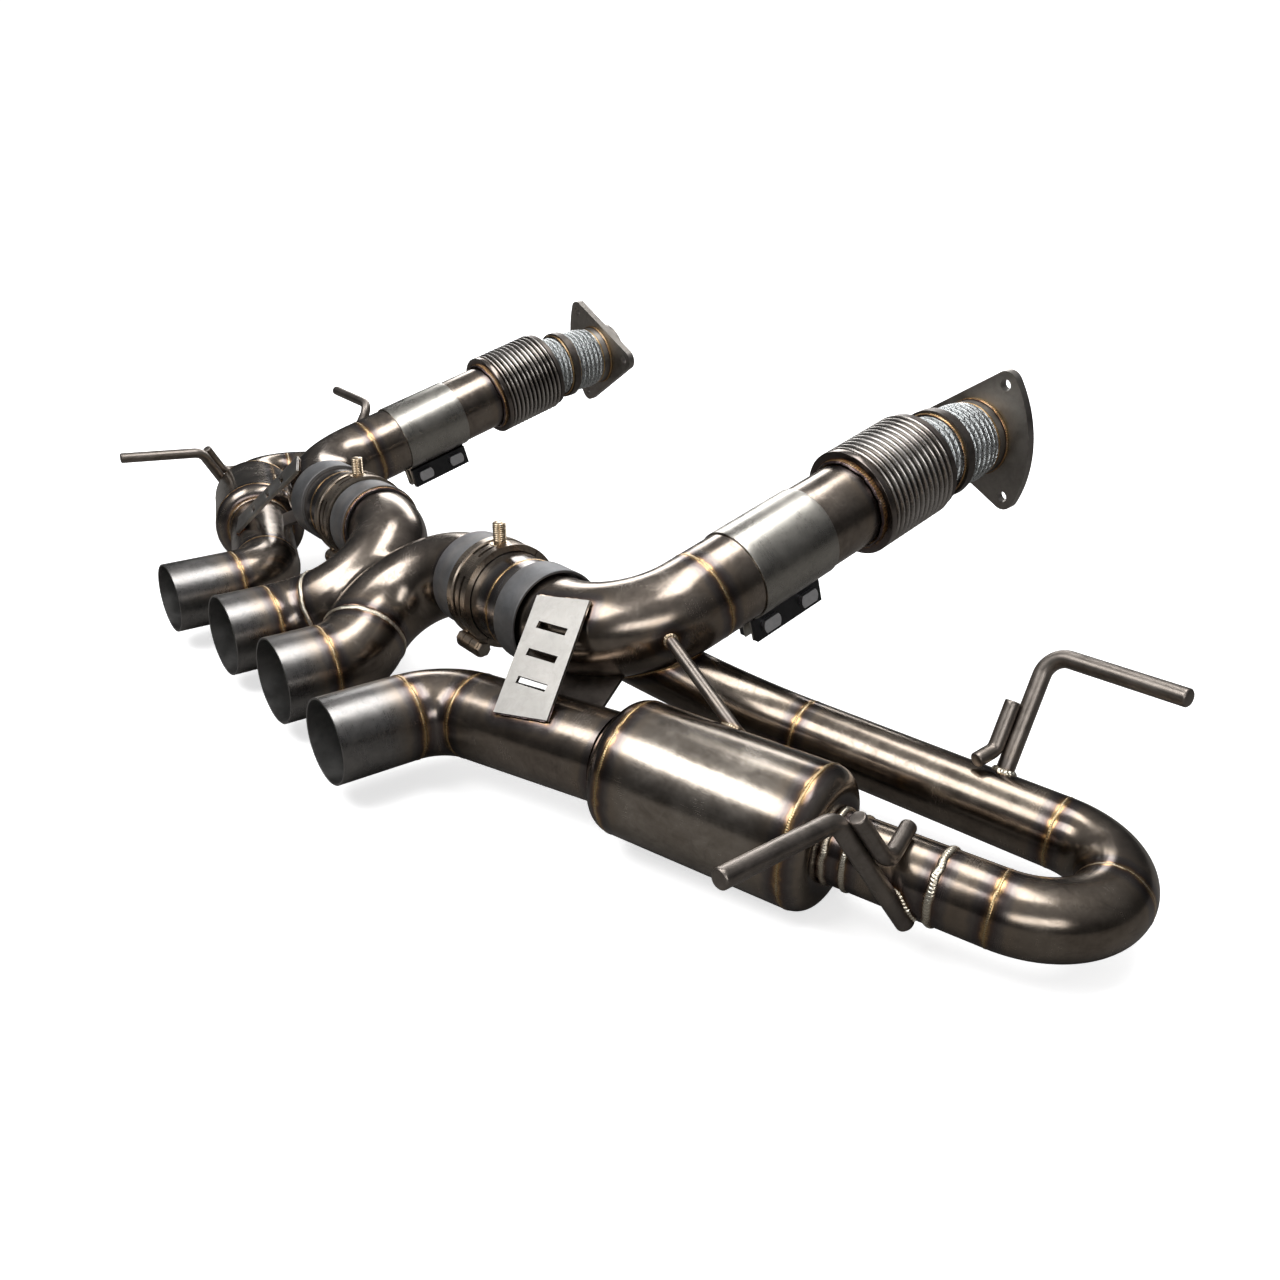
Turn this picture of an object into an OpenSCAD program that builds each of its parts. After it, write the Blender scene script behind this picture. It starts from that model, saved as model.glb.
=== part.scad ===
// Rear racing exhaust: two inlets with flexible joints, a crossover pipe,
// two side silencers on return bends and four round tail tips.
// +X is the right-hand side, +Y the front (inlets), +Z up, millimetres.
// The system is a mirror pair about X = 0, apart from the sleeve clamps,
// whose bolts face the same way on both sides.

/* [Tubes] */
// Outside diameter of the inlet pipes, main bends and crossover
main_od = 76.2; // [60:0.1:90]
// Outside diameter of the silencer loop tubes
loop_od = 50.8; // [38:0.1:64]
// Outside diameter of the outer tail pipes and tips
outer_tip_od = 69.85; // [60:0.05:90]
// Wall thickness of every tube
wall = 1.5; // [1:0.1:3]

/* [Layout] */
// Distance of each inlet line from the centre plane
inlet_x = 305.4; // [250:0.1:360]
// Rise of the inlet pipes toward the front, degrees
inlet_rise = 16; // [0:1:25]
// Front to back position of the crossover line
cross_y = -126.4; // [-150:0.1:-90]
// Height of the crossover line
cross_z = 117.2; // [100:0.1:140]
// Distance of the outer tips from the centre plane
outer_tip_x = 193.8; // [170:0.1:230]
// Distance of the inner tips from the centre plane
inner_tip_x = 63; // [50:1:80]
// Height of all four tip axes
tip_z = 54; // [45:0.1:70]
// Front to back position of the outer tip mouths
outer_mouth_y = -317.9; // [-340:0.1:-290]
// Front to back position of the inner tip mouths
inner_mouth_y = -308.4; // [-340:0.1:-290]

// Front to back position of the tail pipe corner
tail_corner_y = -215.4; // [-225:0.1:-205]

/* [Main bends] */
// Bend radius of the main bends
main_bend_r = 76.2; // [70:0.1:90]
// Crossover leg bend radius
cross_bend_r = 64; // [60:0.5:70]
// Crossover leg turn, degrees
cross_turn = 128; // [110:1:140]

/* [Inlet line] */
// Start of the sleeve, measured from the bend corner
sleeve_s = 125.4; // [120:0.1:135]
// Length of the sleeve
sleeve_len = 82; // [60:1:100]
// Start of the bellows
bellows_s = 268.4; // [250:0.1:280]
// Length of the convoluted part of the bellows
bellows_len = 74.6; // [60:0.1:90]
// Crest diameter of the bellows
bellows_od = 96.4; // [90:0.1:110]
// Number of bellows convolutions
bellows_count = 12; // [8:1:16]
// Downward tilt of the braided section, degrees
droop = 8; // [0:1:12]
// Diameter of the braid
braid_od = 75; // [70:0.5:84]

/* [Inlet flange] */
// Bolt circle diameter of the three flange holes
flange_pcd = 122; // [110:1:130]
// Diameter of the flange holes
flange_hole_d = 10.5; // [8:0.5:13]
// Thickness of the flange plate
flange_t = 8; // [6:0.5:12]

/* [Crossover clamps] */
// Middle of the clamp, from the centre plane
clamp_x = 142; // [130:1:160]
// Width of the clamp shells
clamp_w = 30; // [24:1:40]
// Outside diameter of the clamp shells
clamp_od = 92; // [90:1:100]
// Outside diameter of the grey ferrules
ferrule_od = 86; // [82:1:92]

/* [Silencers] */
// Outside diameter of the silencer shells
silencer_od = 101.6; // [90:0.1:127]
// Length of the silencer shells
silencer_len = 172; // [150:1:220]
// Yaw of the silencer axis, outer end forward, degrees
silencer_yaw = 17.94; // [0:0.01:25]
// Downward pitch of the silencer axis toward the outer end, degrees
silencer_pitch = 2.53; // [0:0.01:5]
// Bend radius of the return bends
return_bend_r = 53.5; // [50:0.5:60]
// Turn of the return bends, degrees
return_turn = 174.5; // [165:0.5:180]

// Bend radius of the tail pipes
tail_bend_r = 48; // [40:1:60]

/* [Hangers] */
// Diameter of the hanger rods
hanger_d = 12.7; // [8:0.1:14]
// Inside bend radius of the hanger rods, to the rod axis
hanger_bend_r = 16; // [12:1:25]
// Thickness of the bracket plates
plate_t = 3; // [2:0.5:5]

/* [Hidden] */
$fn = 96;
eps = 0.05;
main_r = main_od / 2;
main_ri = main_r - wall;
loop_r = loop_od / 2;
loop_ri = loop_r - wall;
otip_r = outer_tip_od / 2;
otip_ri = otip_r - wall;
shell_r = silencer_od / 2;
rod_r = hanger_d / 2;

// vector helpers
function unit(v) = v / norm(v);
function heading(yaw, pitch) = [cos(yaw) * cos(pitch), sin(yaw) * cos(pitch), -sin(pitch)];

// inlet line
u = [0, cos(inlet_rise), sin(inlet_rise)];
corner = [inlet_x, cross_y, cross_z];
function on_inlet(s) = corner + u * s;
cuff_len = 6;
flex_s = bellows_s + bellows_len + cuff_len;
flex_rise = inlet_rise - droop;
fu = [0, cos(flex_rise), sin(flex_rise)];
flex_o = on_inlet(flex_s);
function on_flex(s) = flex_o + fu * s;
bellows_root_r = bellows_od / 2 - 6;
cuff_r = bellows_od / 2;
braid_r = braid_od / 2;
liner_r = main_r - 3;
collar_s = 22;
collar_len = 9;
collar_r = braid_r + 3.5;
braid_end = 70;
neck_r = 35;
plate_s = 84;
spigot_end = plate_s + flange_t + 13;
lobe_r = 12.7;
edge_bulge_r = 120.6;
edge_bulge_x = 57;

// sleeve
sleeve_gap = 0.05;
sleeve_t = 1.3;
male_end = sleeve_s + 24;
inlet_start = male_end + 14;
ear_gap = 8;
ear_t = 2;
ear_h = 25;
ear_top = main_r + 0.5;
bar_t = 5;
bar_h = 22;
bar_len = 76;
bolt_pitch = 44;
bolt_r = 4;
bolt_down = main_r + 13;
ear_tilt = 0;

// crossover line
cross_o = [0, cross_y, cross_z];
function on_cross(x) = [x, cross_y, cross_z];
inner_ring_x0 = 96;
inner_ring_x1 = 125;
outer_ring_x0 = 199;
outer_ring_x1 = 228;
hub_r = main_r + 1.7;
flange_r = 41.6;
flange_w = 5;
seal_w = 1;
ring_recess_r = 40.6;
main_end_x = 214;
clamp_r = clamp_od / 2;
clamp_in_r = flange_r + 0.6;
clamp_lip_r = hub_r + 0.8;
clamp_lip_w = 3;
split_gap = 1;
clamp_x0 = clamp_x - clamp_w / 2;
clamp_x1 = clamp_x + clamp_w / 2;
pin_off = clamp_r + 5;
pin_r = 3;
pin_play = 0.05;
knuckle_r = 8;
knuckle_play = 0.4;
knuckle_half = 6;
hinge_at = 232;
stud_r = 5.5;
stud_h = 19.5;
stud_boss_r = 8.5;

// crossover legs: one arc each, then an elbow to the tip
cr = cross_bend_r;
ct = cross_turn;
leg_o = [inner_ring_x0, cross_y, cross_z];
leg_rise = cr * (1 - cos(ct));
leg_end_x = inner_ring_x0 - cr * sin(ct);
leg_k = leg_rise + (inner_tip_x - leg_end_x) * sin(ct) / -cos(ct);
leg_dip = asin((cross_z - tip_z) / leg_k);
leg_n = [0, -cos(leg_dip), -sin(leg_dip)];
leg_end = leg_o + cr * sin(ct) * [-1, 0, 0] + leg_rise * leg_n;
leg_dir = [-cos(ct), -sin(ct) * cos(leg_dip), -sin(ct) * sin(leg_dip)];
elbow_turn = acos(-leg_dir[1]);
elbow_drop = norm([inner_tip_x - leg_end[0], tip_z - leg_end[2]]);
elbow_r = elbow_drop / (1 - cos(elbow_turn));
elbow_n = unit([0, -1, 0] - leg_dir * (-leg_dir[1]));
elbow_end_y = leg_end[1] - elbow_r * sin(elbow_turn);

// silencer and loop
sd = heading(silencer_yaw, silencer_pitch);
sn = [-sin(silencer_yaw), cos(silencer_yaw), 0];
silencer_c = [441.8, -135, 54.1];
sil_half = silencer_len / 2;
function on_sil(t) = silencer_c + sd * t;
neck_t = sil_half + 20;
slip_t = 160;
loop_t = 195.85;
loop_o = on_sil(loop_t);
loop_end_d = sd * cos(return_turn) + sn * sin(return_turn);
loop_end = loop_o + sn * return_bend_r * (1 - cos(return_turn))
    + sd * return_bend_r * sin(return_turn);
return_len = 200;
branch_o = loop_end + loop_end_d * return_len;
branch_phi = 60;
branch_t = corner + main_bend_r * ((cos(branch_phi) - 1) * [1, 0, 0] + (1 - sin(branch_phi)) * u);
branch_v = branch_t - branch_o;
branch_along = branch_v * loop_end_d;
branch_perp = branch_v - loop_end_d * branch_along;
branch_r = (branch_v * branch_v) / (2 * norm(branch_perp));
branch_turn = 2 * atan2(norm(branch_perp), branch_along);

// outer tail pipe
tail_neck = 4;
tail_o = on_sil(-sil_half - tail_neck);
tail_corner = [outer_tip_x, tail_corner_y, tip_z];
tail_d = unit(tail_corner - tail_o);
tail_turn = acos(-tail_d[1]);
tail_cut = tail_bend_r * tan(tail_turn / 2);
tail_n = unit([0, -1, 0] - tail_d * (-tail_d[1]));
tail_len = norm(tail_corner - tail_o) - tail_cut;

// mirror copy for the left-hand side
module left() { mirror([1, 0, 0]) children(); }
module both() { children(); left() children(); }

// place children with local axes x, y, z at o
module frame(o, x, y, z) {
    multmatrix([[x[0], y[0], z[0], o[0]], [x[1], y[1], z[1], o[1]],
        [x[2], y[2], z[2], o[2]], [0, 0, 0, 1]]) children();
}
// local Z along d, local X level
module along(o, d) {
    x = unit(cross(abs(d[2]) > 0.95 ? [0, 1, 0] : [0, 0, 1], d));
    frame(o, x, cross(d, x), d) children();
}
module run(o, d, len, ro, ri) {
    along(o, d) difference() {
        cylinder(h = len, r = ro);
        translate([0, 0, -1]) cylinder(h = len + 2, r = ri);
    }
}
module solid_run(o, d, len, r) { along(o, d) cylinder(h = len, r = r); }
// tube arc starting at o, heading d, turning toward n
module bend(o, d, n, turn, r, ro, ri) {
    frame(o + n * r, -n, d, cross(-n, d)) rotate_extrude(angle = turn)
        translate([r, 0]) rotate(180) difference() { circle(r = ro); circle(r = ri); }
}
module solid_bend(o, d, n, turn, r, ro) {
    frame(o + n * r, -n, d, cross(-n, d)) rotate_extrude(angle = turn)
        translate([r, 0]) rotate(180) circle(r = ro);
}
// rod from a past corner b to c
module bent_rod(a, b, c, r, rad) {
    da = unit(b - a);
    dc = unit(c - b);
    turn = acos(da * dc);
    cut = rad * tan(turn / 2);
    n = unit(dc - da * (da * dc));
    solid_run(a, da, norm(b - a) - cut - eps, r);
    solid_bend(b - da * cut, da, n, turn, rad, r);
    solid_run(b + dc * (cut + eps), dc, norm(c - b) - cut - eps, r);
}
module main_outer(extra) {
    solid_bend(corner + u * main_bend_r, -u, [-1, 0, 0], 90, main_bend_r, main_r + extra);
    solid_run(on_inlet(main_bend_r), u, 60, main_r + extra);
}

// inlet flange with its neck and spigot
module inlet_flange() color([0.33, 0.31, 0.29]) {
    along(on_flex(0), fu) {
        difference() {
            union() {
                translate([0, 0, plate_s]) linear_extrude(flange_t) flange_outline();
                translate([0, 0, braid_end + eps]) cylinder(h = spigot_end - braid_end, r = neck_r);
            }
            translate([0, 0, braid_end - 1]) cylinder(h = 60, r = neck_r - wall);
            for (a = [0, 120, 240]) rotate(a) translate([flange_pcd / 2, 0, plate_s - 1])
                cylinder(h = flange_t + 2, d = flange_hole_d);
        }
    }
}
function lobe(a, r) = [r * cos(a), r * sin(a)];
module flange_outline() {
    c = [for (a = [0, 120, 240]) lobe(a, flange_pcd / 2)];
    inset = lobe_r - 0.15;
    for (p = c) translate(p) circle(r = lobe_r);
    polygon([for (k = [0:2]) for (a = [k * 120 - 60, k * 120 + 60]) c[k] + lobe(a, inset)]);
    intersection() {
        translate([edge_bulge_r - edge_bulge_x, 0]) circle(r = edge_bulge_r);
        polygon([[-20, -59], [-70, -59], [-70, 59], [-20, 59]]);
    }
}

// braid over the flexible section, in two lengths
module flex_braid() color([0.74, 0.75, 0.76]) difference() {
    along(on_flex(0), fu) difference() {
        union() {
            translate([0, 0, 2]) cylinder(h = collar_s - 2, r = braid_r - 1.5);
            translate([0, 0, collar_s]) cylinder(h = collar_len, r = braid_r - 1.5);
            translate([0, 0, collar_s + collar_len]) cylinder(h = 30, r = braid_r);
            translate([0, 0, collar_s + collar_len + 30])
                cylinder(h = braid_end - collar_s - collar_len - 30, r1 = braid_r, r2 = braid_r - 2);
        }
        translate([0, 0, 1]) cylinder(h = 80, r = braid_r - 3);
    }
    along(on_inlet(flex_s - 30), u) cylinder(h = 30 - 0.3, r = 60);
}
// collar gripping the braid
module flex_collar() color([0.2, 0.19, 0.18]) {
    along(on_flex(collar_s), fu) difference() {
        cylinder(h = collar_len, r = collar_r);
        translate([0, 0, -1]) cylinder(h = collar_len + 2, r = braid_r - 1.5 + eps);
    }
    run(on_inlet(bellows_s + bellows_len + 0.2), u, cuff_len - 1, cuff_r - 2, braid_r - 4);
}
// convoluted bellows with end cuffs
module bellows() color([0.42, 0.39, 0.36]) along(on_inlet(bellows_s), u) {
    pitch = bellows_len / bellows_count;
    out = bellows_od / 2;
    rotate_extrude() polygon(concat(
        [for (k = [0:bellows_count - 1]) for (q = [[0, 0], [0.18, 0], [0.3, 5], [0.42, 6],
            [0.68, 6], [0.8, 5], [0.92, 0]]) [bellows_root_r + q[1], (k + q[0]) * pitch]],
        [[bellows_root_r, bellows_len], [bellows_root_r - 1, bellows_len]],
        [[bellows_root_r - 1, 0]]));
}
// inner liner tube under the braid
module flex_liner() color([0.4, 0.38, 0.36]) along(on_flex(3), fu) difference() {
    cylinder(h = braid_end - 4, r = neck_r - wall - 2);
    translate([0, 0, -1]) cylinder(h = 90, r = neck_r - wall - 3);
}
// sliding inlet pipe with the lower bellows cuff
module inlet_pipe() color([0.47, 0.43, 0.39]) {
    run(on_inlet(inlet_start), u, bellows_s - inlet_start - 0.3, main_r, main_ri);
    run(on_inlet(bellows_s - cuff_len), u, cuff_len - 0.3, cuff_r, main_r + eps);
}

// band sleeve over the slip joint, split along its underside
module at_sleeve() along(on_inlet(sleeve_s + sleeve_len / 2), u) children();
module bolt_spots() for (k = [-1, 1]) translate([0, -bolt_down, k * bolt_pitch / 2])
    rotate([0, 90, 0]) children();
module lap_sleeve() color([0.6, 0.58, 0.55]) at_sleeve() difference() {
    union() {
        difference() {
            cylinder(h = sleeve_len, r = main_r + sleeve_gap + sleeve_t, center = true);
            cylinder(h = sleeve_len + 2, r = main_r + sleeve_gap, center = true);
            translate([-ear_gap / 2, -main_r - 5, -sleeve_len])
                cube([ear_gap, 10, sleeve_len * 2]);
        }
        for (k = [0, 1]) mirror([k, 0, 0])
            translate([ear_gap / 2, -main_r - 0.2 - ear_h, -bar_len / 2])
                cube([ear_t, ear_h, bar_len]);
    }
    bolt_spots() cylinder(h = 40, r = bolt_r + 0.2, center = true);
}
module lap_bar_pair() at_sleeve() for (k = [0, 1]) mirror([k, 0, 0]) difference() {
    translate([ear_gap / 2 + ear_t + eps, -main_r - 2.6 - bar_h, -bar_len / 2])
        cube([bar_t, bar_h, bar_len]);
    bolt_spots() cylinder(h = 40, r = bolt_r + 0.2, center = true);
}
function bar_face() = ear_gap / 2 + ear_t + eps + bar_t;
head_t = 4;
head_long = 9.5;
head_wide = 6;
nut_t = 6;
nut_r = 7.5;
module lap_bolt_pair() at_sleeve() bolt_spots() rotate([180, 0, 0]) {
    translate([0, 0, -bar_face() - nut_t - 3])
        cylinder(h = 2 * bar_face() + nut_t + 3 + eps, r = bolt_r);
    translate([0, 0, bar_face() + eps]) intersection() {
        cylinder(h = head_t, r = head_long);
        translate([-head_long, -head_wide, -1]) cube([2 * head_long, 2 * head_wide, 9]);
    }
}
module lap_nut_pair() at_sleeve() bolt_spots() rotate([180, 0, 0])
    translate([0, 0, -bar_face() - nut_t - eps]) difference() {
        cylinder(h = nut_t, r = nut_r, $fn = 6);
        translate([0, 0, -1]) cylinder(h = nut_t + 2, r = bolt_r + eps);
    }
module shift_left() translate([-2 * inlet_x, 0, 0]) children();

// main bend with the branch opening, and its two straight ends
module main_bend() color([0.44, 0.39, 0.35]) {
    difference() {
        bend(corner + u * main_bend_r, -u, [-1, 0, 0], 90, main_bend_r, main_r, main_ri);
        branch_solid(loop_ri);
    }
    run(on_inlet(main_bend_r + eps), u, male_end - main_bend_r - eps, main_r, main_ri);
    run(on_cross(main_end_x), [1, 0, 0], inlet_x - main_bend_r - main_end_x - eps, main_r, main_ri);
}
module branch_solid(r) {
    solid_bend(branch_o, loop_end_d, unit(branch_perp), branch_turn, branch_r, r);
}

// ferrules, built along the crossover line
module ring_profile(pts) { along([0, cross_y, cross_z], [1, 0, 0]) rotate_extrude() polygon(pts); }
module outer_ferrule() color([0.35, 0.35, 0.35]) {
    a = clamp_x + seal_w / 2;
    ring_profile([[main_ri, a], [flange_r, a], [flange_r, a + flange_w], [hub_r, a + flange_w],
        [hub_r, outer_ring_x0], [ferrule_od / 2, outer_ring_x0], [ferrule_od / 2, outer_ring_x1],
        [ring_recess_r, outer_ring_x1], [ring_recess_r, main_end_x - 0.2],
        [main_ri, main_end_x - 0.2]]);
}
module inner_ferrule() color([0.35, 0.35, 0.35]) {
    b = clamp_x - seal_w / 2;
    ring_profile([[main_ri, inner_ring_x0], [ferrule_od / 2, inner_ring_x0],
        [ferrule_od / 2, inner_ring_x1], [hub_r, inner_ring_x1], [hub_r, b - flange_w],
        [flange_r, b - flange_w], [flange_r, b], [main_ri, b]]);
}
module seal_ring() {
    ring_profile([[main_ri + 1, clamp_x - 0.45], [flange_r - 0.3, clamp_x - 0.45],
        [flange_r - 0.3, clamp_x + 0.45], [main_ri + 1, clamp_x + 0.45]]);
}

// hinged clamp in two half shells
module at_clamp() along(on_cross(clamp_x), [1, 0, 0]) rotate(hinge_at) children();
module half_shell(start) rotate(start) rotate_extrude(angle = 180)
    polygon([[clamp_lip_r, -clamp_w / 2], [clamp_r, -clamp_w / 2], [clamp_r, -clamp_w / 2 + 7],
        [clamp_r - 1.2, -clamp_w / 2 + 8], [clamp_r - 1.2, clamp_w / 2 - 8],
        [clamp_r, clamp_w / 2 - 7], [clamp_r, clamp_w / 2], [clamp_lip_r, clamp_w / 2],
        [clamp_lip_r, clamp_w / 2 - clamp_lip_w], [clamp_in_r, clamp_w / 2 - clamp_lip_w - 1],
        [clamp_in_r, -clamp_w / 2 + clamp_lip_w + 1], [clamp_lip_r, -clamp_w / 2 + clamp_lip_w]]);
module split_cut() translate([-80, -split_gap / 2, -40]) cube([160, split_gap, 80]);
module knuckle(z0, h, r) translate([pin_off, 0, z0]) cylinder(h = h, r = r);
module clamp_lower() color([0.5, 0.44, 0.38]) at_clamp() difference() {
    union() {
        difference() { half_shell(0); split_cut(); }
        for (z0 = [-clamp_w / 2, knuckle_half]) knuckle(z0, clamp_w / 2 - knuckle_half, knuckle_r);
    }
    knuckle(-knuckle_half - knuckle_play, 2 * (knuckle_half + knuckle_play), knuckle_r + knuckle_play);
    knuckle(-40, 80, pin_r);
    translate([0, 0, -40]) cylinder(h = 80, r = clamp_lip_r);
    translate([0, 0, -clamp_w / 2 + clamp_lip_w]) cylinder(h = clamp_w - 2 * clamp_lip_w, r = clamp_in_r);
}
slot_w = 3.4;
slot_z = 4.6;
module clamp_upper() color([0.56, 0.5, 0.44]) at_clamp() difference() {
    union() {
        difference() { half_shell(180); split_cut(); }
        knuckle(-knuckle_half, 2 * knuckle_half, knuckle_r);
    }
    for (z0 = [-clamp_w / 2 - 1, knuckle_half])
        knuckle(z0 - (z0 > 0 ? knuckle_play : 0), clamp_w / 2 - knuckle_half + 1 + knuckle_play,
            knuckle_r + knuckle_play);
    knuckle(-40, 80, pin_r + pin_play);
    translate([0, 0, -40]) cylinder(h = 80, r = clamp_lip_r);
    translate([0, 0, -clamp_w / 2 + clamp_lip_w]) cylinder(h = clamp_w - 2 * clamp_lip_w, r = clamp_in_r);
    rotate(90 - hinge_at) rotate([0, 90, 0]) cylinder(h = 80, r = stud_r + eps);
    for (z = [-slot_z, slot_z], a = [[-84, 50], [-132, 22]]) rotate(a[0])
        rotate_extrude(angle = a[1]) translate([30, z - slot_w / 2]) square([40, slot_w]);
}
module clamp_stud() color([0.62, 0.55, 0.46]) at_clamp() rotate(90 - hinge_at) rotate([0, 90, 0])
    translate([0, 0, clamp_in_r + 0.4]) {
        cylinder(h = clamp_r - clamp_in_r + stud_h - 0.4, r = stud_r);
        translate([0, 0, clamp_r - clamp_in_r + eps]) cylinder(h = 1.6, r = stud_boss_r);
        for (k = [2:12]) translate([0, 0, clamp_r - clamp_in_r + 1.4 * k])
            cylinder(h = 0.7, r = stud_r + 0.5);
    }
module clamp_pin() at_clamp() {
    knuckle(-clamp_w / 2 - 0.5, clamp_w + 1, pin_r - eps);
    for (z0 = [-clamp_w / 2 - 4.5, clamp_w / 2 + 0.5]) translate([pin_off, 0, z0])
        cylinder(h = 4, r = pin_r + 3, $fn = 6);
}

// crossover: two mirrored legs meeting at the centre plane
module leg(r) solid_bend(leg_o, [-1, 0, 0], leg_n, ct, cr, r);
module half_crossover() difference() {
    leg(main_r);
    leg_bore();
    translate([-200, -400, -100]) cube([200, 500, 400]);
}
module crossover_pipe() color([0.43, 0.38, 0.34]) both() half_crossover();
module leg_bore() leg(main_ri);
module inner_elbow()
    bend(leg_end, leg_dir, elbow_n, elbow_turn, elbow_r, main_r, main_ri);
module inner_tip()
    run([inner_tip_x, elbow_end_y, tip_z], [0, -1, 0], elbow_end_y - inner_mouth_y, main_r, main_ri);

// branch, return bend and front leg of the silencer loop
module return_leg() color([0.41, 0.37, 0.33]) run(loop_end, loop_end_d, return_len, loop_r, loop_ri);
module branch_pipe() color([0.41, 0.37, 0.33]) difference() {
    bend(branch_o, loop_end_d, unit(branch_perp), branch_turn, branch_r, loop_r, loop_ri);
    solid_bend(corner + u * main_bend_r, -u, [-1, 0, 0], 90, main_bend_r, main_r + eps);
}
module return_bend() color([0.4, 0.36, 0.32]) {
    run(on_sil(slip_t), sd, loop_t - slip_t - eps, loop_r, loop_ri);
    bend(loop_o, sd, sn, return_turn, return_bend_r, loop_r, loop_ri);
}
leg_in = 12;
module front_leg() color([0.42, 0.37, 0.33]) {
    run(on_sil(sil_half - leg_in), sd, slip_t - sil_half + leg_in, loop_r, loop_ri);
    for (t = [sil_half + 3, sil_half + 16])
        run(on_sil(t), sd, 3, loop_r + 1.6, loop_r + eps);
}

// silencer
cap_skirt = 15;
cap_in = 15.5;
module silencer_shell() color([0.47, 0.43, 0.39]) along(on_sil(0), sd) {
    h = sil_half - cap_skirt;
    w = wall;
    g = loop_r + eps;
    crown = [for (a = [0:15:75]) [shell_r - cap_in * (1 - cos(a)), h + cap_skirt * sin(a)]];
    under = [for (a = [75:-15:0]) [shell_r - w - (cap_in - w) * (1 - cos(a)), h + (cap_skirt - w) * sin(a)]];
    rotate_extrude() polygon(concat([
        [otip_ri, -sil_half - tail_neck], [otip_r, -sil_half - tail_neck], [otip_r, -sil_half]],
        [for (k = [len(crown) - 1:-1:0]) [crown[k][0], -crown[k][1]]], crown,
        [[g, sil_half], [g, sil_half - w]], under,
        [for (k = [len(under) - 1:-1:0]) [under[k][0], -under[k][1]]], [[otip_ri, -sil_half + w]]));
}
core_r = loop_r;
core_end = sil_half - leg_in - 0.2;
core_flare = 24;
module silencer_core() color([0.5, 0.5, 0.5]) along(on_sil(0), sd) difference() {
    h0 = -sil_half + wall + 0.3;
    union() {
        translate([0, 0, h0 + core_flare]) cylinder(h = core_end - h0 - core_flare, r = core_r);
        translate([0, 0, h0]) cylinder(h = core_flare, r1 = otip_ri, r2 = core_r);
    }
    translate([0, 0, h0 - 0.01]) cylinder(h = core_flare + 0.01, r1 = otip_ri - 1.2, r2 = core_r - 1.2);
    translate([0, 0, h0]) cylinder(h = 300, r = core_r - 1.2);
    for (z = [-40:20:60]) for (a = [0:60:300]) translate([0, 0, z]) rotate([0, 90, a])
        cylinder(h = 40, r = 3);
}
module silencer_packing() color([0.8, 0.78, 0.7]) along(on_sil(0), sd) difference() {
    h0 = -sil_half + wall + core_flare + 2;
    translate([0, 0, h0]) cylinder(h = sil_half - cap_skirt - 2 - h0, r = shell_r - wall - 0.3);
    translate([0, 0, h0 - 1]) cylinder(h = 400, r = core_r + 0.3);
}

// tail pipe and outer tip
module tail_solid(r) {
    solid_run(tail_o - tail_d * 6, tail_d, tail_len + 6, r);
    solid_bend(tail_o + tail_d * tail_len, tail_d, tail_n, tail_turn, tail_bend_r, r);
}
module tail_pipe() color([0.43, 0.38, 0.34]) difference() {
    union() {
        run(tail_o - tail_d * 6, tail_d, tail_len + 6 - eps, otip_r, otip_ri);
        bend(tail_o + tail_d * tail_len, tail_d, tail_n, tail_turn, tail_bend_r, otip_r, otip_ri);
    }
    along(tail_o, sd) cylinder(h = 40, r = 90);
}
module outer_tip() color([0.38, 0.35, 0.33])
    run([outer_tip_x, tail_corner_y - tail_cut, tip_z], [0, -1, 0],
        tail_corner_y - tail_cut - outer_mouth_y, otip_r, otip_ri);

// plates and rods between the main bend and the silencer line
plate_w = 48;
plate_slot = 28;
tb_top = [265.2, -145.3, 149.7];
tb_low = [297.9, -205.2, 85.8];
module bracket(p, q, slots, past) {
    d = unit(q - p);
    w0 = [cos(silencer_yaw), sin(silencer_yaw), 0];
    w1 = unit(w0 - d * (w0 * d));
    frame(p, w1, d, cross(w1, d)) difference() {
        translate([-plate_w / 2, -past, -plate_t / 2])
            cube([plate_w, norm(q - p) + 2 * past, plate_t]);
        for (k = [1:slots]) translate([0, norm(q - p) * k / (slots + 1), 0])
            rotate(8) cube([plate_slot, 6, 20], center = true);
    }
}
module tip_bracket() difference() {
    bracket(tb_top, tb_low, 3, 3);
    main_outer(eps);
    solid_run(on_cross(main_end_x - 30), [1, 0, 0], 60, main_r + eps);
    tail_solid(otip_r + eps);
}
sb_top = [283, -127.4, 91.4];
sb_low = [303, -168.4, 75.4];
module support_bracket() difference() {
    bracket(sb_top, sb_low, 0, 12);
    main_outer(eps);
    solid_run(on_cross(main_end_x - 30), [1, 0, 0], 60, main_r + eps);
    tail_solid(otip_r + eps);
    along(on_sil(-sil_half), sd) cylinder(h = silencer_len, r = shell_r + eps);
}
brace_r = 4.75;
brace_top = [330, -93.4, 129];
brace_low = [431, -111.4, 94.6];
module brace_rod() difference() {
    solid_run(brace_top - unit(brace_low - brace_top) * 8, unit(brace_low - brace_top),
        norm(brace_low - brace_top) + 8, brace_r);
    main_outer(eps);
    along(on_sil(-sil_half), sd) cylinder(h = silencer_len, r = shell_r + eps);
}

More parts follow.
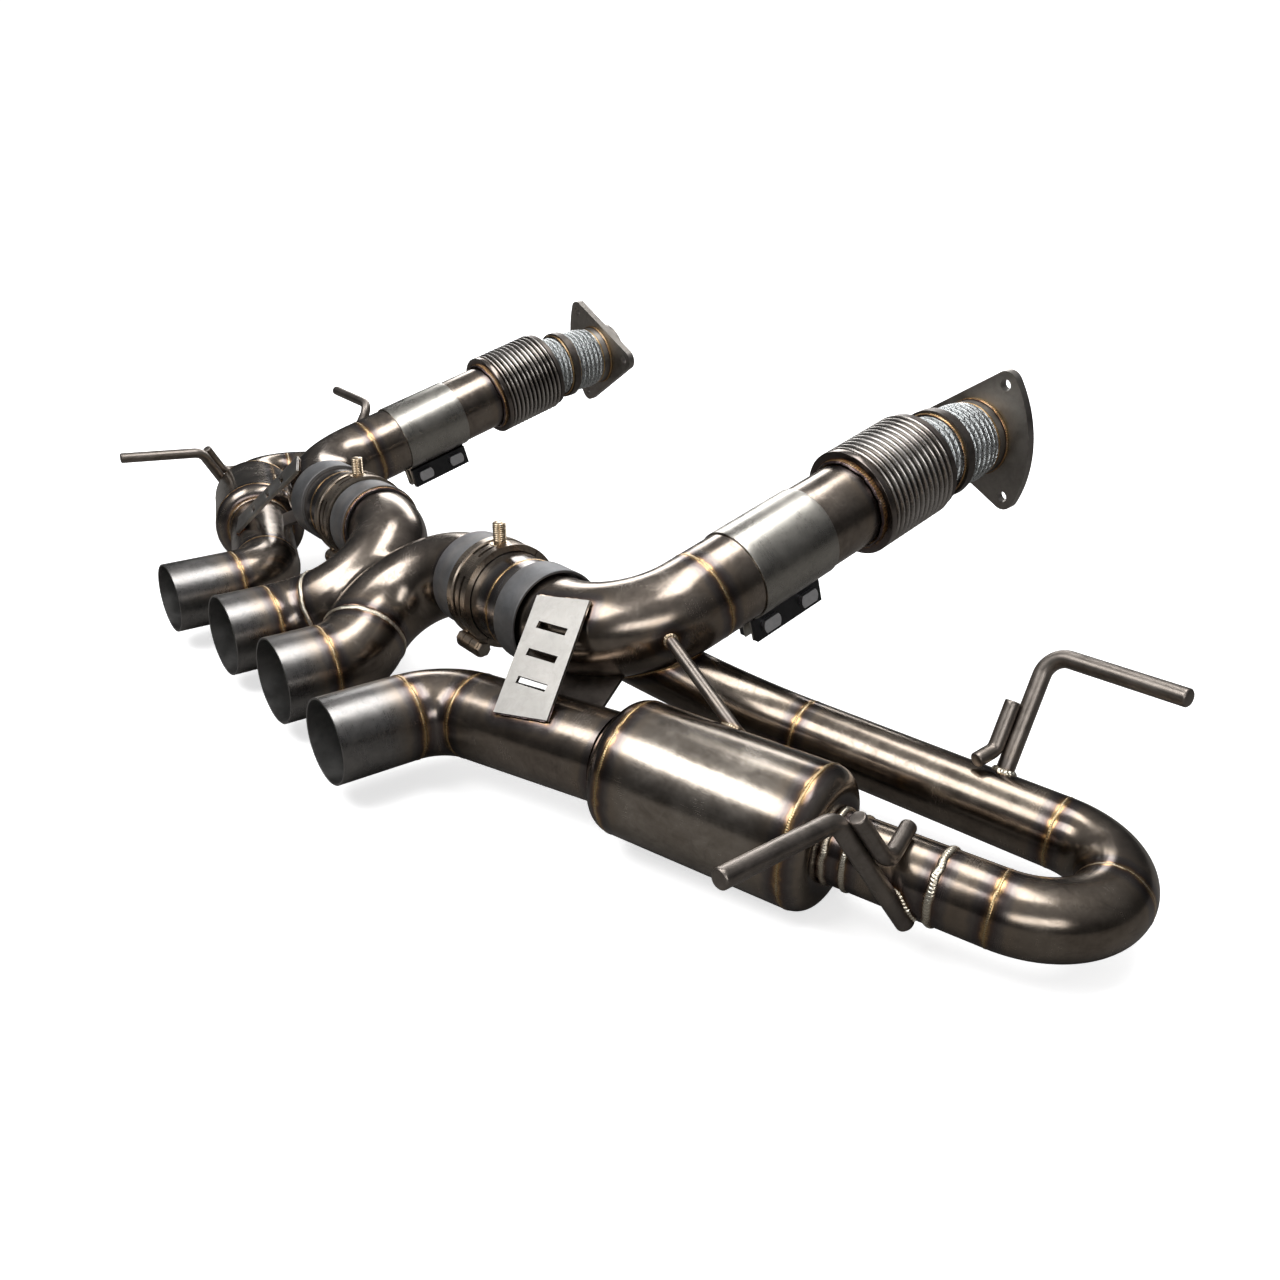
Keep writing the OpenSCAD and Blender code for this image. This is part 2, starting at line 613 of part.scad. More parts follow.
// hanger rods
hook_r = 5.5;
fh_end = [575.7, -255.8, 113.9];
fh_bend = [566.8, -157.9, 108.5];
fh_foot = [586.6, -108.3, 24.8];
fh_leg = unit(fh_foot - fh_bend);
view_side = [0.607, 0.795, 0];
function beside(leg, k) = unit(view_side - leg * (view_side * leg)) * k * (rod_r + hook_r + eps);
fk = [fh_bend + fh_leg * 4 + beside(fh_leg, 1), fh_bend + fh_leg * 46 + beside(fh_leg, 1),
    [567.5, -90.4, 79.6]];
module front_hanger() color([0.2, 0.18, 0.17]) difference() {
    bent_rod(fh_end, fh_bend, fh_foot, rod_r, hanger_bend_r);
    along(on_sil(0), sd) cylinder(h = 300, r = loop_r + eps);
}
module front_hook() bent_rod(fk[0], fk[1], fk[2], hook_r, 14);
rh_end = [648.4, 69.6, 151.8];
rh_bend = [546.7, 72.8, 146.5];
rh_foot = [553.2, 18.6, 50.4];
rh_leg = unit(rh_foot - rh_bend);
rk = [rh_bend + rh_leg * 40 + beside(rh_leg, -1), rh_bend + rh_leg * 76 + beside(rh_leg, -1),
    [541, 10.5, 80.5]];
module rear_hanger() color([0.2, 0.18, 0.17]) difference() {
    bent_rod(rh_end, rh_bend, rh_foot, rod_r, hanger_bend_r);
    solid_run(loop_end, loop_end_d, return_len, loop_r + eps);
}
module rear_hook() bent_rod(rk[0], rk[1], rk[2], hook_r, 8);

// sub-parts
module inlet_flange_right() { inlet_flange(); }
module inlet_flange_left() { left() inlet_flange(); }
module flex_braid_right() { flex_braid(); }
module flex_braid_left() { left() flex_braid(); }
module flex_collar_right() { flex_collar(); }
module flex_collar_left() { left() flex_collar(); }
module bellows_right() { bellows(); }
module bellows_left() { left() bellows(); }
module flex_liner_right() { flex_liner(); }
module flex_liner_left() { left() flex_liner(); }
module inlet_pipe_right() { inlet_pipe(); }
module inlet_pipe_left() { left() inlet_pipe(); }
module lap_sleeve_right() { lap_sleeve(); }
module lap_sleeve_left() { shift_left() lap_sleeve(); }
module lap_bars() { color([0.08, 0.08, 0.08]) { lap_bar_pair(); shift_left() lap_bar_pair(); } }
module lap_bolts() { color([0.7, 0.7, 0.72]) { lap_bolt_pair(); shift_left() lap_bolt_pair(); } }
module lap_nuts() { color([0.7, 0.7, 0.72]) { lap_nut_pair(); shift_left() lap_nut_pair(); } }
module main_bend_right() { main_bend(); }
module main_bend_left() { left() main_bend(); }
module outer_ferrule_right() { outer_ferrule(); }
module outer_ferrule_left() { left() outer_ferrule(); }
module inner_ferrule_right() { inner_ferrule(); }
module inner_ferrule_left() { left() inner_ferrule(); }
module clamp_lower_right() { clamp_lower(); }
module clamp_lower_left() { left() clamp_lower(); }
module clamp_upper_right() { clamp_upper(); }
module clamp_upper_left() { left() clamp_upper(); }
module clamp_stud_right() { clamp_stud(); }
module clamp_stud_left() { left() clamp_stud(); }
module clamp_pins() { color([0.45, 0.42, 0.4]) both() clamp_pin(); }
module seal_rings() { color([0.25, 0.25, 0.25]) both() seal_ring(); }
module branch_pipe_right() { branch_pipe(); }
module branch_pipe_left() { left() branch_pipe(); }
module return_leg_right() { return_leg(); }
module return_leg_left() { left() return_leg(); }
module return_bend_right() { return_bend(); }
module return_bend_left() { left() return_bend(); }
module front_leg_right() { front_leg(); }
module front_leg_left() { left() front_leg(); }
module silencer_shell_right() { silencer_shell(); }
module silencer_shell_left() { left() silencer_shell(); }
module silencer_core_right() { silencer_core(); }
module silencer_core_left() { left() silencer_core(); }
module silencer_packing_right() { silencer_packing(); }
module silencer_packing_left() { left() silencer_packing(); }
module tail_pipe_right() { tail_pipe(); }
module tail_pipe_left() { left() tail_pipe(); }
module outer_tip_right() { outer_tip(); }
module outer_tip_left() { left() outer_tip(); }
module inner_elbows() { color([0.4, 0.36, 0.33]) both() inner_elbow(); }
module inner_tips() { color([0.38, 0.35, 0.33]) both() inner_tip(); }
module tip_brackets() { color([0.62, 0.6, 0.57]) both() tip_bracket(); }
module support_brackets() { color([0.2, 0.19, 0.18]) both() support_bracket(); }
module brace_rods() { color([0.3, 0.27, 0.25]) both() brace_rod(); }
module front_hanger_right() { front_hanger(); }
module front_hanger_left() { left() front_hanger(); }
module rear_hanger_right() { rear_hanger(); }
module rear_hanger_left() { left() rear_hanger(); }
module hanger_hooks() { color([0.2, 0.18, 0.17]) both() { front_hook(); rear_hook(); } }

inlet_flange_right();
inlet_flange_left();
flex_braid_right();
flex_braid_left();
flex_collar_right();
flex_collar_left();
bellows_right();
bellows_left();
flex_liner_right();
flex_liner_left();
inlet_pipe_right();
inlet_pipe_left();
lap_sleeve_right();
lap_sleeve_left();
lap_bars();
lap_bolts();
lap_nuts();
main_bend_right();
main_bend_left();
outer_ferrule_right();
outer_ferrule_left();
inner_ferrule_right();
inner_ferrule_left();
clamp_lower_right();
clamp_lower_left();
clamp_upper_right();
clamp_upper_left();
clamp_stud_right();
clamp_stud_left();
clamp_pins();
seal_rings();
branch_pipe_right();
branch_pipe_left();
return_leg_right();
return_leg_left();
return_bend_right();
return_bend_left();
front_leg_right();
front_leg_left();
silencer_shell_right();
silencer_shell_left();
silencer_core_right();
silencer_core_left();
silencer_packing_right();
silencer_packing_left();
tail_pipe_right();
tail_pipe_left();
outer_tip_right();
outer_tip_left();
crossover_pipe();
inner_elbows();
inner_tips();
tip_brackets();
support_brackets();
brace_rods();
front_hanger_right();
front_hanger_left();
rear_hanger_right();
rear_hanger_left();
hanger_hooks();
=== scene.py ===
import math

import bpy
import bmesh
import numpy as np
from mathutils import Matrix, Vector
from mathutils.kdtree import KDTree


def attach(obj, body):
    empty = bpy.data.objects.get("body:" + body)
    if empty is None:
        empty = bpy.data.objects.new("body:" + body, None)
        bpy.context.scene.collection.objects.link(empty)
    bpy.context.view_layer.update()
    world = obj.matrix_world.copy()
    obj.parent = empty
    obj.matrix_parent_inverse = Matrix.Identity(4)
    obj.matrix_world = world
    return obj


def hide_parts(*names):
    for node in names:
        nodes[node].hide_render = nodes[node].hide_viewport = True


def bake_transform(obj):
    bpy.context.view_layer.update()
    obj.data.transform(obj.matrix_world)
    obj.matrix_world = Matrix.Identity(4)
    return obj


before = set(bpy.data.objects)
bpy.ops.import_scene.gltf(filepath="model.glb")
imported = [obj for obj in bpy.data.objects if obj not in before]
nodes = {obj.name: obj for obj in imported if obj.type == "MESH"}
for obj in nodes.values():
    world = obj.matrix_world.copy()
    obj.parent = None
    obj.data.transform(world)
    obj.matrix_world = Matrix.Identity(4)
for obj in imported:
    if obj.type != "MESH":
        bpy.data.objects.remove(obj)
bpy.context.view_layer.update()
MM = 0.001
rng = np.random.default_rng(7)


# ---------------------------------------------------------------- vectors
def vec(*p):
    return np.array(p, float)


def unit(v):
    return v / np.linalg.norm(v)


def deg(a):
    return math.radians(a)


# sizes in millimetres, as in the CAD part
MAIN_R, LOOP_R, TIP_R, WALL = 38.1, 25.4, 34.925, 1.5
X, Y, Z = np.eye(3)
K = vec(305.4, -126.4, 117.2)
U = vec(0, math.cos(deg(16)), math.sin(deg(16)))
BEND_R = 76.2
FU = vec(0, math.cos(deg(8)), math.sin(deg(8)))
YAW, PITCH = deg(17.94), deg(2.53)
SD = vec(math.cos(YAW) * math.cos(PITCH), math.sin(YAW) * math.cos(PITCH),
         -math.sin(PITCH))
SN = vec(-math.sin(YAW), math.cos(YAW), 0)
SIL = vec(441.8, -135, 54.1)
SIL_HALF, SIL_R = 86, 50.8
CY, CZ, TIP_Z = -126.4, 117.2, 54
CLAMP_X = 142
CROSS_X = 214            # outer end of the crossover, where the main bend starts
LEG_X, TIP_X = 96, 63    # start of a crossover leg and the axis of an inner tip
INLET_FROM, BELLOWS_FROM, BELLOWS_LONG = 163.4, 268.4, 74.6
FLEX_FROM = 349
FLEX_O = K + U * FLEX_FROM
LOOP_END, LOOP_RUN, LOOP_TURN, LOOP_BEND_R = 160, 35.85, 174.5, 53.5
BACK_RUN = 200
TAIL_BEND_R = 48
ROD_R, BRACE_R, HOOK_R = 6.35, 4.75, 5.5
FAR = 200.0              # distance from a seam given to pieces with no heat tint


# ---------------------------------------------------------------- centrelines
class Path:
    """A centreline of straight runs and arcs, with a frame carried along it."""

    def __init__(self, start, heading, step=2.0):
        self.step = step
        self.p, self.t = [np.array(start, float)], [unit(heading)]
        side = np.cross(Z, self.t[0])
        if np.linalg.norm(side) < 0.2:
            side = np.cross(Y, self.t[0])
        self.n = [unit(side)]

    def _add(self, p, t):
        a, b = self.t[-1], t
        axis = np.cross(a, b)
        n = self.n[-1]
        s = np.linalg.norm(axis)
        if s > 1e-9:
            axis = axis / s
            c = float(np.clip(a @ b, -1, 1))
            n = n * c + np.cross(axis, n) * s + axis * (axis @ n) * (1 - c)
        self.p.append(p)
        self.t.append(t)
        self.n.append(unit(n - t * (n @ t)))

    def line(self, length):
        o, d = self.p[-1], self.t[-1]
        k = max(2, int(length / self.step))
        for i in range(1, k + 1):
            self._add(o + d * length * i / k, d)
        return self

    def arc(self, toward, turn, radius):
        o, d = self.p[-1], self.t[-1]
        n = unit(toward - d * (toward @ d))
        k = max(4, int(deg(turn) * radius / self.step))
        for i in range(1, k + 1):
            a = deg(turn) * i / k
            self._add(o + n * radius * (1 - math.cos(a)) + d * radius * math.sin(a),
                      d * math.cos(a) + n * math.sin(a))
        return self

    def done(self):
        self.P, self.T, self.N = map(np.array, (self.p, self.t, self.n))
        self.B = np.cross(self.T, self.N)
        seg = np.linalg.norm(np.diff(self.P, axis=0), axis=1)
        self.S = np.concatenate([[0], np.cumsum(seg)])
        return self

    def at(self, s):
        """Point, tangent and the two cross vectors at distance s."""
        out = [np.array([np.interp(s, self.S, a[:, k]) for k in range(3)])
               for a in (self.P, self.T, self.N, self.B)]
        return out[0], unit(out[1]), unit(out[2]), unit(out[3])


def rod_path(a, b, c, radius):
    a, b, c = map(np.array, (a, b, c))
    da, dc = unit(b - a), unit(c - b)
    turn = math.degrees(math.acos(da @ dc))
    cut = radius * math.tan(deg(turn) / 2)
    return Path(a, da, 1.5).line(np.linalg.norm(b - a) - cut).arc(dc, turn, radius).line(
        np.linalg.norm(c - b) - cut).done()


def distance(points, path):
    """Distance of points from a path's polyline."""
    a, b = path.P[:-1], path.P[1:]
    ab = b - a
    ll = (ab ** 2).sum(1)
    out = np.full(len(points), 1e9)
    for i in range(len(a)):
        w = points - a[i]
        t = np.clip(w @ ab[i] / ll[i], 0, 1)
        out = np.minimum(out, np.linalg.norm(w - t[:, None] * ab[i], axis=1))
    return out


# ---------------------------------------------------------------- mesh building
def set_fields(me, flow, near, tone):
    """Stores what the materials read: flow position, distance from a seam, and tone."""
    for label, kind, field, data in (("flow", "FLOAT_VECTOR", "vector", flow),
                                     ("near", "FLOAT", "value", near),
                                     ("tone", "FLOAT", "value", tone)):
        layer = me.attributes.new(label, kind, "POINT")
        layer.data.foreach_set(field, np.ascontiguousarray(data, np.float32).ravel())


class Build:
    """Gathers quads with a position along the straightened part for each vertex."""

    def __init__(self):
        self.V, self.F, self.C, self.G, self.n = [], [], [], [], 0

    def add(self, verts, faces, flow, tone=0.0):
        self.V.append(verts)
        self.F.append(faces + self.n)
        self.C.append(flow)
        self.G.append(np.full(len(verts), tone) if np.isscalar(tone) else tone)
        self.n += len(verts)

    def grid(self, P, flow, close_u=False, close_v=True, tone=0.0):
        n, m = P.shape[:2]
        i = np.arange(n if close_u else n - 1)
        j = np.arange(m if close_v else m - 1)
        I, J = np.meshgrid(i, j, indexing="ij")
        a, b = I * m + J, ((I + 1) % n) * m + J
        c, d = ((I + 1) % n) * m + (J + 1) % m, I * m + (J + 1) % m
        faces = np.stack([a, d, c, b], -1).reshape(-1, 4)
        self.add(P.reshape(-1, 3), faces, flow.reshape(-1, 3),
                 tone if np.isscalar(tone) else tone.reshape(-1))

    def mesh(self, name, mirror=False, sharp=38, heat=True):
        V, C, G = np.concatenate(self.V), np.concatenate(self.C), np.concatenate(self.G)
        F = np.concatenate(self.F)
        near = heat_of(V) if heat else np.full(len(V), FAR)
        if mirror:
            V = V * vec(-1, 1, 1)
            F = F[:, ::-1]
        me = bpy.data.meshes.new(name)
        me.from_pydata((V * MM).tolist(), [], F.tolist())
        set_fields(me, C, near, G)
        me.validate()
        me.shade_smooth()
        me.set_sharp_from_angle(angle=deg(sharp))
        obj = bpy.data.objects.new(name, me)
        bpy.context.scene.collection.objects.link(obj)
        return obj


def ring(path, i, r, seg):
    th = np.linspace(0, 2 * math.pi, seg, endpoint=False)
    c, s = np.cos(th)[:, None], np.sin(th)[:, None]
    return path.P[i] + r * (c * path.N[i] + s * path.B[i])


def ring_flow(s, r, seg):
    th = np.linspace(0, 2 * math.pi, seg, endpoint=False)
    return np.stack([r * np.cos(th), r * np.sin(th), np.full(seg, s)], -1)


def tube(build, path, r, wall=WALL, seg=96, lip=0.25):
    """A hollow tube along the path, its cut ends slightly broken; tone is 1 on the inside."""
    n = len(path.P)
    rows, flow = [], []

    def put(i, rr, ds):
        rows.append(ring(path, i, rr, seg) + path.T[i] * ds)
        flow.append(ring_flow(path.S[i] + ds, rr, seg))

    put(0, r - lip, 0)
    put(0, r, lip)
    for i in range(1, n - 1):
        put(i, r, 0)
    put(n - 1, r, -lip)
    put(n - 1, r - lip, 0)
    ri = r - wall
    outside = len(rows)
    put(n - 1, ri + lip, 0)
    put(n - 1, ri, -lip)
    for i in range(n - 2, 0, -1):
        put(i, ri, 0)
    put(0, ri, lip)
    put(0, ri + lip, 0)
    tones = np.zeros((len(rows), seg))
    tones[outside:] = 1
    build.grid(np.array(rows), np.array(flow), close_u=True, tone=tones)


def rod(build, path, r, seg=40, chamfer=1.0, tone=0.0):
    """A solid rod with chamfered, slightly domed ends."""
    n = len(path.P)
    rows, flow = [], []

    def put(i, rr, ds):
        rows.append(ring(path, i, rr, seg) + path.T[i] * ds)
        flow.append(ring_flow(path.S[i] + ds, rr, seg))

    for rr, ds in ((0.02, 0), (r - chamfer - 0.3, 0), (r - chamfer, 0.08), (r - 0.1, chamfer),
                   (r, chamfer + 0.3)):
        put(0, rr, ds)
    for i in range(2, n - 2):
        put(i, r, 0)
    for rr, ds in ((r, -chamfer - 0.3), (r - 0.1, -chamfer), (r - chamfer, -0.08),
                   (r - chamfer - 0.3, 0), (0.02, 0)):
        put(n - 1, rr, ds)
    build.grid(np.array(rows), np.array(flow), tone=tone)


def rounded(points, radius, steps=4):
    """A closed outline with its corners rounded."""
    pts = [np.array(p, float) for p in points]
    out = []
    for i, p in enumerate(pts):
        a, b = pts[i - 1] - p, pts[(i + 1) % len(pts)] - p
        la, lb = np.linalg.norm(a), np.linalg.norm(b)
        cut = min(radius, la * 0.45, lb * 0.45)
        if abs(np.dot(a / la, b / lb)) > 0.98:
            out.append(p)
            continue
        q0, q1 = p + a / la * cut, p + b / lb * cut
        for k in range(steps + 1):
            t = k / steps
            out.append((1 - t) ** 2 * q0 + 2 * t * (1 - t) * p + t * t * q1)
    return np.array(out)


def revolve(build, outline, origin, axis, seg=128, closed=True, tone=0.0):
    """Turns an outline of (radius, along) round an axis."""
    path = Path(origin, axis).line(1).done()
    th = np.linspace(0, 2 * math.pi, seg, endpoint=False)
    c, s = np.cos(th)[None, :, None], np.sin(th)[None, :, None]
    r, z = outline[:, 0][:, None, None], outline[:, 1][:, None, None]
    P = np.array(origin) + r * (c * path.N[0] + s * path.B[0]) + z * path.T[0]
    flow = np.concatenate([r * c, r * s, z + 0 * c], -1)
    build.grid(P, flow, close_u=closed, tone=tone)


def densify(outline, step, closed=True):
    """Adds points so that no side of an outline is longer than about a step."""
    pts = np.vstack([outline, outline[:1]]) if closed else outline
    out = []
    for a, b in zip(pts[:-1], pts[1:]):
        k = max(1, int(np.linalg.norm(b - a) / step))
        out += [a + (b - a) * i / k for i in range(k)]
    if not closed:
        out.append(pts[-1])
    return np.array(out)


# ---------------------------------------------------------------- weld beads
SEAMS = []
BEADS = {}


def smooth_noise(n, scale, rand, closed):
    k = max(3, int(n / scale))
    knots = rand.normal(size=k)
    x = np.arange(n) / n * (k if closed else k - 1)
    i = np.floor(x).astype(int)
    f = x - i
    f = f * f * (3 - 2 * f)
    return knots[i % k] * (1 - f) + knots[(i + 1) % k] * f


def bead(group, pts, nrm, half, height, pitch=1.7, tone=0.0, closed=True):
    """A rippled weld bead along a seam; group is the body it rides on."""
    pts, nrm = np.array(pts, float), np.array(nrm, float)
    loop = np.vstack([pts, pts[:1]]) if closed else pts
    seg = np.linalg.norm(np.diff(loop, axis=0), axis=1)
    S = np.concatenate([[0], np.cumsum(seg)])
    n = max(12, int(S[-1] / 0.42))
    q = np.linspace(0, S[-1], n, endpoint=not closed)
    nl = np.vstack([nrm, nrm[:1]]) if closed else nrm
    P = np.stack([np.interp(q, S, loop[:, k]) for k in range(3)], -1)
    N = np.stack([np.interp(q, S, nl[:, k]) for k in range(3)], -1)
    N /= np.linalg.norm(N, axis=1)[:, None]
    if closed:
        T = np.roll(P, -1, 0) - np.roll(P, 1, 0)
    else:
        T = np.gradient(P, axis=0)
    T /= np.linalg.norm(T, axis=1)[:, None]
    B = np.cross(T, N)
    B /= np.linalg.norm(B, axis=1)[:, None]
    SEAMS.append(P[::4])
    if closed:
        pitch = S[-1] / max(1, round(S[-1] / pitch))
    v = np.linspace(-1, 1, 11)
    w = half * (1 + 0.07 * smooth_noise(n, 9, rng, closed))
    drift = 0.10 * half * smooth_noise(n, 14, rng, closed)
    phase = (q[:, None] + 0.75 * half * v[None, :] ** 2) / pitch
    lump = np.abs(np.sin(math.pi * phase)) ** 0.8
    h = height * (1 + 0.08 * smooth_noise(n, 7, rng, closed))
    if not closed:
        end = np.clip(np.minimum(q, S[-1] - q) / (half * 0.9), 0, 1) ** 0.5
        w, h = w * (0.35 + 0.65 * end), h * (0.2 + 0.8 * end)
    dome = np.clip(1 - v[None, :] ** 2, 0, 1) ** 0.65
    rise = h[:, None] * dome * (0.66 + 0.34 * lump) - 0.25
    rows = (P[:, None] + B[:, None] * (w[:, None] * v[None, :] + drift[:, None])[..., None]
            + N[:, None] * rise[..., None])
    # the flow's third value is the ripple height; the weld material darkens the ripple valleys by
    # it as painted shade
    flow = np.stack([np.repeat(q[:, None], len(v), 1), w[:, None] * v[None, :],
                     lump * height], -1)
    BEADS.setdefault(group, Build()).grid(rows, flow, close_u=closed, close_v=False, tone=tone)


def seam_ring(group, path, s, r, half=1.9, height=0.75, **kw):
    p, _, nn, bb = path.at(s)
    th = np.linspace(0, 2 * math.pi, 180, endpoint=False)
    radial = np.cos(th)[:, None] * nn + np.sin(th)[:, None] * bb
    bead(group, p + radial * r, radial, half, height, **kw)


def foot(path_small, r_small, hit, s_from, s_to, seg=120):
    """Where a small rod's or tube's skin meets a body given by its distance function."""
    s = np.linspace(s_from, s_to, 260)
    th = np.linspace(0, 2 * math.pi, seg, endpoint=False)
    rings, rads = [], []
    for q in s:
        p, _, nn, bb = path_small.at(q)
        rad = np.cos(th)[:, None] * nn + np.sin(th)[:, None] * bb
        rings.append(p + rad * r_small)
        rads.append(rad)
    R, A = np.array(rings), np.array(rads)
    d = hit(R.reshape(-1, 3)).reshape(R.shape[:2])
    inside = d < 0
    first = np.where(inside.any(0), inside.argmax(0), -1)
    pts, rad, at = [], [], []
    for j, i in enumerate(first):
        if i <= 0:
            at.append(s_to if i < 0 else s_from)
            continue
        f = d[i - 1, j] / (d[i - 1, j] - d[i, j] + 1e-9)
        pts.append(R[i - 1, j] + (R[i, j] - R[i - 1, j]) * f)
        rad.append(A[i, j])
        at.append(s[i - 1] + (s[i] - s[i - 1]) * f)
    return np.array(pts), np.array(rad), np.array(at)


def normal_of(hit, pts, e=0.05):
    g = np.stack([hit(pts + d * e) - hit(pts - d * e) for d in (X, Y, Z)], -1)
    return g / (np.linalg.norm(g, axis=1)[:, None] + 1e-12)


def skin(*paths, r):
    """Distance function of tubes of one radius, negative inside them."""
    return lambda p: np.minimum.reduce([distance(p, path) for path in paths]) - r


# ---------------------------------------------------------------- the real lines
main_bend_end = K[0] - BEND_R - CROSS_X + deg(90) * BEND_R
main = Path(vec(CROSS_X, CY, CZ), X).line(K[0] - BEND_R - CROSS_X).arc(U, 90, BEND_R).line(
    149.4 - BEND_R).done()
main_d = skin(main, r=MAIN_R)

leg_o = vec(LEG_X, CY, CZ)
CR, CT = 64.0, 128.0
leg_rise = CR * (1 - math.cos(deg(CT)))
leg_end_x = LEG_X - CR * math.sin(deg(CT))
leg_k = leg_rise + (TIP_X - leg_end_x) * math.sin(deg(CT)) / -math.cos(deg(CT))
leg_dip = math.asin((CZ - TIP_Z) / leg_k)
leg_n = vec(0, -math.cos(leg_dip), -math.sin(leg_dip))
cross_leg = Path(leg_o, -X).arc(leg_n, CT, CR).done()
leg_end, leg_dir = cross_leg.P[-1], cross_leg.T[-1]
elbow_turn = math.degrees(math.acos(-leg_dir[1]))
elbow_r = np.linalg.norm(vec(TIP_X - leg_end[0], 0, TIP_Z - leg_end[2])) / (
    1 - math.cos(deg(elbow_turn)))
elbow = Path(leg_end, leg_dir).arc(-Y, elbow_turn, elbow_r).done()
inner_tip = Path(elbow.P[-1], -Y).line(elbow.P[-1][1] + 308.4).done()

tail_o = SIL - SD * (SIL_HALF + 4)
tail_corner = vec(193.8, -215.4, TIP_Z)
tail_d = unit(tail_corner - tail_o)
tail_turn = math.degrees(math.acos(-tail_d[1]))
tail_cut = TAIL_BEND_R * math.tan(deg(tail_turn) / 2)
tail_line = np.linalg.norm(tail_corner - tail_o) - tail_cut
tail = Path(tail_o, tail_d).line(tail_line).arc(-Y, tail_turn, TAIL_BEND_R).done()
outer_tip = Path(tail.P[-1], -Y).line(tail.P[-1][1] + 317.9).done()

front_run = LOOP_END - SIL_HALF + 12
front = Path(SIL + SD * (SIL_HALF - 12), SD).line(front_run).done()
ret = Path(SIL + SD * LOOP_END, SD).line(LOOP_RUN).arc(SN, LOOP_TURN, LOOP_BEND_R).done()
RET_ARC = deg(LOOP_TURN) * LOOP_BEND_R
back = Path(ret.P[-1], ret.T[-1]).line(BACK_RUN).done()
phi = deg(60)
branch_t = K + BEND_R * ((math.cos(phi) - 1) * X + (1 - math.sin(phi)) * U)
bo, bd = back.P[-1], back.T[-1]
bv = branch_t - bo
b_along = bv @ bd
b_perp = bv - bd * b_along
branch_r = (bv @ bv) / (2 * np.linalg.norm(b_perp))
branch_turn = math.degrees(2 * math.atan2(np.linalg.norm(b_perp), b_along))
branch = Path(bo, bd).arc(b_perp, branch_turn, branch_r).done()
sil_line = Path(SIL - SD * SIL_HALF, SD).line(2 * SIL_HALF).done()
front_tube = Path(SIL + SD * 80, SD, 20).line(120).done()
loop_d = skin(front_tube, back, r=LOOP_R)
front_tube_d = skin(front_tube, r=LOOP_R)
sil_d = skin(sil_line, r=SIL_R)

FRONT_BEND, FRONT_FOOT = vec(566.8, -157.9, 108.5), vec(586.6, -108.3, 24.8)
REAR_BEND, REAR_FOOT = vec(546.7, 72.8, 146.5), vec(553.2, 18.6, 50.4)
front_rod = rod_path([575.7, -255.8, 113.9], FRONT_BEND, FRONT_FOOT, 16)
rear_rod = rod_path([648.4, 69.6, 151.8], REAR_BEND, REAR_FOOT, 16)
fh_leg, rh_leg = unit(FRONT_FOOT - FRONT_BEND), unit(REAR_FOOT - REAR_BEND)


def beside(leg, sign):
    """Sideways step that lays a hook against a rod."""
    side = vec(0.607, 0.795, 0)
    return unit(side - leg * (side @ leg)) * sign * (ROD_R + HOOK_R + 0.05)


front_hook = rod_path(FRONT_BEND + fh_leg * 4 + beside(fh_leg, 1),
                      FRONT_BEND + fh_leg * 46 + beside(fh_leg, 1), vec(567.5, -90.4, 79.6), 14)
rear_hook = rod_path(REAR_BEND + rh_leg * 40 + beside(rh_leg, -1),
                     REAR_BEND + rh_leg * 76 + beside(rh_leg, -1), vec(541, 10.5, 80.5), 8)
brace_a, brace_b = vec(330, -93.4, 129), vec(431, -111.4, 94.6)
brace = Path(brace_a - unit(brace_b - brace_a) * 8, brace_b - brace_a, 1.5).line(
    np.linalg.norm(brace_b - brace_a) + 8).done()
flex_line = Path(FLEX_O, FU).line(110).done()
inlet_line = Path(K, U).line(FLEX_FROM).done()
cross_line = Path(vec(0, CY, CZ), X).line(240).done()

# ---------------------------------------------------------------- weld beads, right side
EX, IN = "exhaust", "inlet_pipe_body"
seam_ring(EX, main, main_bend_end + 13.2, MAIN_R, 1.4, 0.5)
seam_ring(IN, inlet_line, 261.8, 39.6, 3.4, 2.0, pitch=2.6)
seam_ring("flex_collar_body", inlet_line, 348.6, 41.0, 2.2, 1.2, pitch=2.4, tone=-0.3)
seam_ring("flange_body", flex_line, 72.4, 35.0, 1.4, 0.7)
seam_ring("flange_body", flex_line, 82.6, 36.0, 1.7, 1.0, pitch=2.2)
seam_ring("flex_collar_body", flex_line, 21.3, 38.0, 1.6, 1.0, pitch=2.4)
seam_ring("flex_collar_body", flex_line, 31.8, 38.6, 1.6, 1.0, pitch=2.4)
seam_ring(EX, cross_line, 182, 39.8, 1.5, 0.6)
seam_ring(EX, cross_line, 96.2, 40.2, 2.6, 1.7, pitch=2.2)
seam_ring(EX, cross_leg, cross_leg.S[-1], MAIN_R, 2.4, 1.2, pitch=2.2, tone=0.9)
seam_ring(EX, inner_tip, 0.0, MAIN_R, 1.4, 0.55)
seam_ring(EX, tail, tail_line, TIP_R, 1.5, 0.55)
seam_ring(EX, outer_tip, 0.0, TIP_R, 1.4, 0.55)
seam_ring(EX, sil_line, -3.0, TIP_R + 0.4, 2.3, 1.4, pitch=2.2, tone=0.3)
seam_ring(EX, sil_line, 2 * SIL_HALF - 15, SIL_R - 0.1, 1.5, 0.6)
seam_ring(EX, sil_line, 15, SIL_R - 0.1, 1.5, 0.6)
seam_ring(EX, front, 14.8, LOOP_R + 0.3, 3.0, 1.6, tone=0.8)
seam_ring(EX, front, 29.0, LOOP_R + 0.2, 2.2, 1.1, tone=0.9)
seam_ring(EX, front, front_run, LOOP_R + 0.2, 3.0, 1.5, pitch=2.4, tone=0.9)
seam_ring(EX, ret, LOOP_RUN, LOOP_R, 1.3, 0.5)
